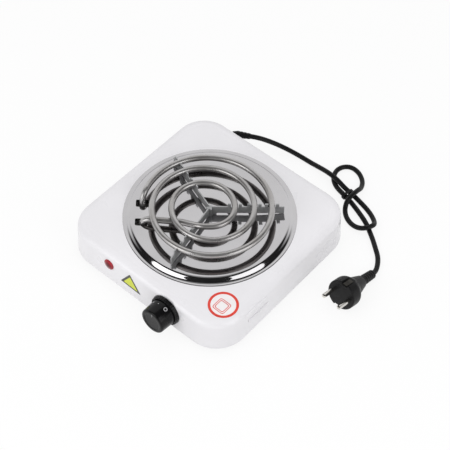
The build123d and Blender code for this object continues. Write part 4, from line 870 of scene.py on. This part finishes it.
class HOTPLATE_OT_lamp(bpy.types.Operator):
    """Make the indicator lamp's domed red lens"""

    bl_idname = "hotplate.lamp"
    bl_label = "Indicator lamp"

    def execute(self, context):
        sizes, colours = settings(context)
        seat = wall_seat(FRONT, *LAMP_PLACE, sizes)
        radius = sizes.lens_radius / MM
        edge, rise = 0.86 * radius, 1.2
        share = np.linspace(1, 0, 14)[:, None]
        dome = np.concatenate([edge * share, rise + rise * (1 - share**2)], axis=1)
        skirt = soft_line(((0, 0.0), (radius, 0.0), (radius, 1.0), (edge, rise)), (0.1, 0.35))
        grid = turned_grid(np.concatenate([skirt, dome]), seat, 64)
        red = own_finish("lens_red", colours)
        add_grid("lamp_lens", grid, red, "housing", "lens_red", "indicator_lens")
        return {"FINISHED"}


class HOTPLATE_OT_marks(bpy.types.Operator):
    """Make the plain round mark on the top and the plain triangle mark on the front wall"""

    bl_idname = "hotplate.marks"
    bl_label = "Marks"

    def execute(self, context):
        sizes, colours = settings(context)
        plain, strong = colours.mark_pale, colours.mark_red
        pale = print_finish("mark_field", plain, shade(plain, 0.95))
        red = print_finish("mark_ring", strong, shade(strong, 0.9))
        radius = sizes.mark_radius / MM
        ring_width, line_width, line_power = 2.7, 0.7, 0.30
        field_lift, line_lift = 0.08, 0.13
        on_cover = ("housing", "cover_enamel")
        field = self.disc_grid(sizes, 0.0, radius, field_lift)
        add_grid("round_mark_field", field, pale, *on_cover, sharp=60)
        ring = self.disc_grid(sizes, radius - ring_width, radius, line_lift)
        add_grid("round_mark_ring", ring, red, *on_cover, wrap_rows=True, sharp=60)
        for number, size in enumerate((7.2, 5.5), 1):
            inner = size - line_width
            line = self.disc_grid(sizes, inner, size, line_lift, line_power, MARK_SHIFT)
            add_grid(f"round_mark_line_{number}", line, red, *on_cover, wrap_rows=True, sharp=60)
        self.add_triangle(sizes, colours)
        return {"FINISHED"}

    def disc_grid(self, sizes, inner, outer, lift, power=1.0, shift=(0.0, 0.0)):
        """A thin plate between two radii that follows the cover's top, lift above it.

        A point is a radius times a unit superellipse, so a power below 1 makes it squarer.
        """
        radius = np.linspace(inner, outer, 48)[:, None]
        way_x, way_y = square_round(full_turn(96), power)
        x = MARK_PLACE[0] + shift[0] + radius * way_x
        y = MARK_PLACE[1] + shift[1] + radius * way_y
        top = cover_height(x, y, sizes)
        under = np.stack([x, y, top - PRINT_SINK], axis=-1)
        over = np.stack([x, y, top + lift], axis=-1)
        return np.concatenate([under, over[::-1]])

    def add_triangle(self, sizes, colours):
        """Two thin plates on the front wall: a dark triangle and a smaller yellow one on it."""
        bright = colours.mark_yellow
        yellow = print_finish("mark_yellow", bright, shade(bright, 0.9), 200.0)
        dark = print_finish("mark_border", (0.024, 0.024, 0.018), (0.040, 0.040, 0.030), 200.0)
        seat = wall_seat(FRONT, 0.0, 0.0, sizes)
        corners = np.array(TRIANGLE_CORNERS)
        middle = corners.mean(axis=0)
        for name, scale, lift, material in (
            ("triangle_mark_border", 1.0, 0.06, dark),
            ("triangle_mark_field", 0.70, 0.10, yellow),
        ):
            outer = middle + (corners - middle) * scale
            closed = np.concatenate([outer[-1:], outer, outer[:1]])
            rim = soft_line(closed, 1.4 * scale, 6)[1:-1]
            levels = np.array([[0, -PRINT_SINK], [1, -PRINT_SINK], [1, lift], [0, lift]])
            plan = middle + levels[:, :1, None] * (rim - middle)[None]
            height = np.broadcast_to(levels[:, 1:, None], (4, len(rim), 1))
            grid = seated(np.concatenate([plan, height], axis=-1), seat)
            add_grid(name, grid, material, "housing", "cover_enamel", sharp=60)


# Plug and cord


def plug_seat(sizes):
    """The plug's face: its middle, and rows of side, up and back along the plug."""
    cos, sin = math.cos(PLUG_TILT), math.sin(PLUG_TILT)
    back = level_way(PLUG_HEADING) * cos - UP * sin
    side = level_way(PLUG_HEADING - math.pi / 2)
    spot = np.array([*PLUG_PLACE, sizes.plug_radius / MM * cos + PLUG_DISC * sin])
    return spot, np.stack([side, np.cross(back, side), back])


class HOTPLATE_OT_plug(bpy.types.Operator):
    """Make the moulded plug and its ribbed boot"""

    bl_idname = "hotplate.plug"
    bl_label = "Plug"

    def execute(self, context):
        sizes, colours = settings(context)
        seat = plug_seat(sizes)
        black = own_finish("plug_black", colours)
        radius, neck = sizes.plug_radius / MM, sizes.plug_neck / MM
        body = soft_line(
            (
                (0, 0), (radius, 0), (radius, 6.5), (radius, PLUG_DISC), (11.4, 18.5),
                (6.6, neck), (0, neck),
            ),
            (1.6, 0.4, 3.0, 3.0, 1.2),
            9,
        )
        moulding = turned_grid(body, seat, 240, self.clip_slots)
        add_grid("plug_moulding", moulding, black, "housing", "plug_black", "plug_body", sharp=40)
        boot = turned_grid(self.boot_line(sizes), seat, 64)
        add_grid("cord_boot", boot, black, "housing", "plug_black", "plug_boot", sharp=50)
        return {"FINISHED"}

    def clip_slots(self, angle, radius, height):
        """Flats for the earth clips, above and below: inside their width the outside stops."""
        across = np.abs(radius * np.cos(angle))
        floor = CLIP_FLAT / np.maximum(np.abs(np.sin(angle)), 1e-6)
        return np.where((across < CLIP_HALF_WIDTH) & (radius > floor), floor, radius)

    def boot_line(self, sizes):
        """The boot's outside: a taper from 5.7 to 4.9 with six rounded ribs and closed ends."""
        neck, size = sizes.plug_neck / MM, sizes.boot_length / MM
        share = np.linspace(0, 1, 97)
        rib = np.abs(np.sin(6 * np.pi * share)) ** 0.6
        radius = 5.7 - 0.8 * share - 0.55 * (1 - rib)
        outside = np.stack([radius, neck + size * share], axis=-1)
        return np.concatenate([[[0, neck]], outside, [[0, neck + size]]])


class HOTPLATE_OT_cord(bpy.types.Operator):
    bl_idname = "hotplate.cord"
    bl_label = "Mains cord"

    def execute(self, context):
        sizes, colours = settings(context)
        line = bpy.data.curves.new("mains_cord", "CURVE")
        line.dimensions = "3D"
        line.bevel_depth = sizes.cord_diameter / 2
        line.bevel_resolution = 7
        line.use_fill_caps = True
        route = np.array(CORD_ROUTE)
        spline = line.splines.new("NURBS")
        spline.points.add(len(route) - 1)
        weighted = np.pad(route, ((0, 0), (0, 1)), constant_values=1.0)
        spline.points.foreach_set("co", weighted.ravel())
        spline.order_u = 3
        spline.use_endpoint_u = True
        spline.resolution_u = 10
        cord = add_piece(
            "mains_cord", line, own_finish("cord_black", colours), "housing", "cord_black",
            "cord_lead", "cord_hank", "cord_tail",
        )
        carried = ("cord_tie", "plug_pin_left", "plug_pin_right", "plug_earth_clips")
        held = [bpy.data.objects[name] for name in ("plug_moulding", "cord_boot")]
        held += [NODES[name] for name in carried]
        return {"FINISHED"}


# Carried nodes and the stage


class HOTPLATE_OT_carried(bpy.types.Operator):
    """Give the solids that keep their own shape their finishes"""

    bl_idname = "hotplate.carried"
    bl_label = "Carried solids"

    def execute(self, context):
        colours = settings(context)[1]
        for node in NODES.values():
            slot = node.data.materials[0].name.split(".")[0]
            # nodes that sit in shade take a finish with painted shade
            slot = PAINTED_SHADE_NODES.get(node.name, slot)
            if slot in OWN_FINISHES:
                material = own_finish(slot, colours)
            elif slot in CARRIED_FINISHES:
                *values, metal = CARRIED_FINISHES[slot]
                material = finish(f"{slot}_finish", *values, {"Metallic": metal})
            else:
                raise RuntimeError(f"no finish for slot {slot}")
            node.material_slots[0].link = "OBJECT"
            node.material_slots[0].material = material
        return {"FINISHED"}


class HOTPLATE_OT_stage(bpy.types.Operator):
    """Make the floor, the studio light and the camera"""

    bl_idname = "hotplate.stage"
    bl_label = "Stage"

    def execute(self, context):
        scene = context.scene
        scene.view_settings.view_transform = "Standard"
        self.add_floor(scene)
        self.add_world(scene)
        self.add_light(scene, "front_light", -102.0, 5.6)
        self.add_light(scene, "right_light", 0.0, 4.3)
        self.add_camera(scene)
        return {"FINISHED"}

    def add_floor(self, scene):
        """A flat pale floor that the camera sees as white with the object's shadow on it."""
        reach, drop = 2.5, 0.0002
        span = np.linspace(-reach, reach, 5)
        x, y = np.meshgrid(span, span, indexing="ij")
        grid = np.stack([x, y, np.full_like(x, -drop)], axis=-1) / MM
        mesh = mesh_from_grid("floor", grid, wrap_columns=False)
        if mesh.polygons[0].normal.z < 0:
            mesh.flip_normals()
        material = bpy.data.materials.new("floor_white")
        material.use_nodes = True
        tree, shader = material.node_tree, shader_of(material)
        output = next(node for node in tree.nodes if node.type == "OUTPUT_MATERIAL")
        dull = {"Base Color": (0.88, 0.88, 0.88, 1), "Roughness": 0.9, "Specular IOR Level": 0.0}
        feed(tree, shader, dull)
        glow = add_node(tree, "Emission").outputs[0]
        share = maths(tree, "MULTIPLY", seen_rays(tree), FLOOR_GLOW)
        blend = add_node(tree, "MixShader", {0: share, 1: shader.outputs[0], 2: glow})
        feed(tree, output, {"Surface": blend.outputs[0]})
        floor = bpy.data.objects.new("floor", mesh)
        floor.data.materials.append(material)
        scene.collection.objects.link(floor)

    def add_world(self, scene):
        """A soft sky that lights the object, and the room that camera, metal and glass all see.

        The room is white along the horizon and behind the object, and dark above the camera.
        """
        world = bpy.data.worlds.new("studio")
        scene.world = world
        world.use_nodes = True
        tree = world.node_tree
        tree.nodes.clear()
        place = add_node(tree, "TexCoord").outputs["Generated"]
        rise = add_node(tree, "SeparateXYZ", {0: place}).outputs["Z"]
        dot = add_node(tree, "VectorMath", {0: place, 1: BEHIND}, operation="DOT_PRODUCT")
        wall = ramp(tree, dot.outputs["Value"], 0.28, 0.52, 0.02, 1.0, "SMOOTHSTEP")
        ceiling = ramp(tree, rise, 0.95, 0.995, 0.0, 0.35, "SMOOTHSTEP")
        horizon = ramp(tree, rise, 0.20, 0.45, 1.0, 0.0, "SMOOTHSTEP")
        sky = ramp(tree, rise, 0.0, 1.0, 0.30, 1.06)
        seen = maths(tree, "MAXIMUM", wall, maths(tree, "MAXIMUM", ceiling, horizon))
        ambient, room = (
            add_node(tree, "Background", {"Color": (1, 1, 1, 1), "Strength": strength}).outputs[0]
            for strength in (sky, seen)
        )
        blend = add_node(tree, "MixShader", {0: seen_rays(tree), 1: ambient, 2: room})
        add_node(tree, "OutputWorld", {"Surface": blend.outputs[0]})

    def placed(self, right, up, back, spot):
        """A matrix from three axes and a place."""
        place = np.eye(4)
        place[:3] = np.stack([right, up, back, spot], axis=1)
        return Matrix(place)

    def add_light(self, scene, name, bearing, power):
        """A soft light on a bearing that looks at the middle of the cover."""
        data = bpy.data.lights.new(name, "AREA")
        data.shape = "RECTANGLE"
        data.size, data.size_y = LIGHT_SIZE
        data.energy = power
        level = level_way(math.radians(bearing))
        spot = LIGHT_AWAY * (level * math.cos(LIGHT_RISE) + UP * math.sin(LIGHT_RISE))
        light = bpy.data.objects.new(name, data)
        scene.collection.objects.link(light)
        back = spot - np.array(LIGHT_AIM)
        back = back / np.linalg.norm(back)
        right = np.cross(UP, back)
        right = right / np.linalg.norm(right)
        light.matrix_world = self.placed(right, np.cross(back, right), back, spot)

    def add_camera(self, scene):
        """The camera at the photograph's place: from the front right, about 52 degrees up."""
        azimuth, elevation, roll = (math.radians(angle) for angle in CAMERA_ANGLES)
        level, onward = level_way(azimuth), level_way(azimuth + math.pi / 2)
        ahead = onward * math.cos(elevation) - UP * math.sin(elevation)
        upward = np.cross(level, ahead)
        right = math.cos(roll) * level + math.sin(roll) * upward
        up = -math.sin(roll) * level + math.cos(roll) * upward
        data = bpy.data.cameras.new("camera")
        data.lens = CAMERA_LENS
        data.sensor_width = 36.0
        data.clip_end = 20.0
        camera = bpy.data.objects.new("camera", data)
        camera.matrix_world = self.placed(right, up, -ahead, CAMERA_PLACE)
        scene.collection.objects.link(camera)
        scene.camera = camera


class HOTPLATE_PT_panel(bpy.types.Panel):
    """Lists the pieces, their sizes and their colours"""

    bl_idname = "HOTPLATE_PT_panel"
    bl_label = "Hot plate"
    bl_space_type = "VIEW_3D"
    bl_region_type = "UI"
    bl_category = "Hot plate"

    def draw(self, context):
        for operator in OPERATORS:
            self.layout.operator(operator.bl_idname)
        for group in settings(context):
            box = self.layout.box()
            for name in group.__annotations__:
                box.prop(group, name)


OPERATORS = (
    HOTPLATE_OT_stage,
    HOTPLATE_OT_carried,
    HOTPLATE_OT_cover,
    HOTPLATE_OT_reflector,
    HOTPLATE_OT_knob,
    HOTPLATE_OT_lamp,
    HOTPLATE_OT_marks,
    HOTPLATE_OT_plug,
    HOTPLATE_OT_cord,
)
CLASSES = (HotplateSizes, HotplateColours, *OPERATORS, HOTPLATE_PT_panel)


def register():
    for item in CLASSES:
        bpy.utils.register_class(item)
    bpy.types.Scene.hotplate_sizes = PointerProperty(type=HotplateSizes)
    bpy.types.Scene.hotplate_colours = PointerProperty(type=HotplateColours)


def unregister():
    del bpy.types.Scene.hotplate_colours
    del bpy.types.Scene.hotplate_sizes
    for item in reversed(CLASSES):
        bpy.utils.unregister_class(item)


def main():
    register()
    bpy.ops.hotplate.stage()
    bpy.ops.hotplate.carried()
    bpy.ops.hotplate.cover()
    bpy.ops.hotplate.reflector()
    bpy.ops.hotplate.knob()
    bpy.ops.hotplate.lamp()
    bpy.ops.hotplate.marks()
    bpy.ops.hotplate.plug()
    bpy.ops.hotplate.cord()


if __name__ == "__main__":
    main()
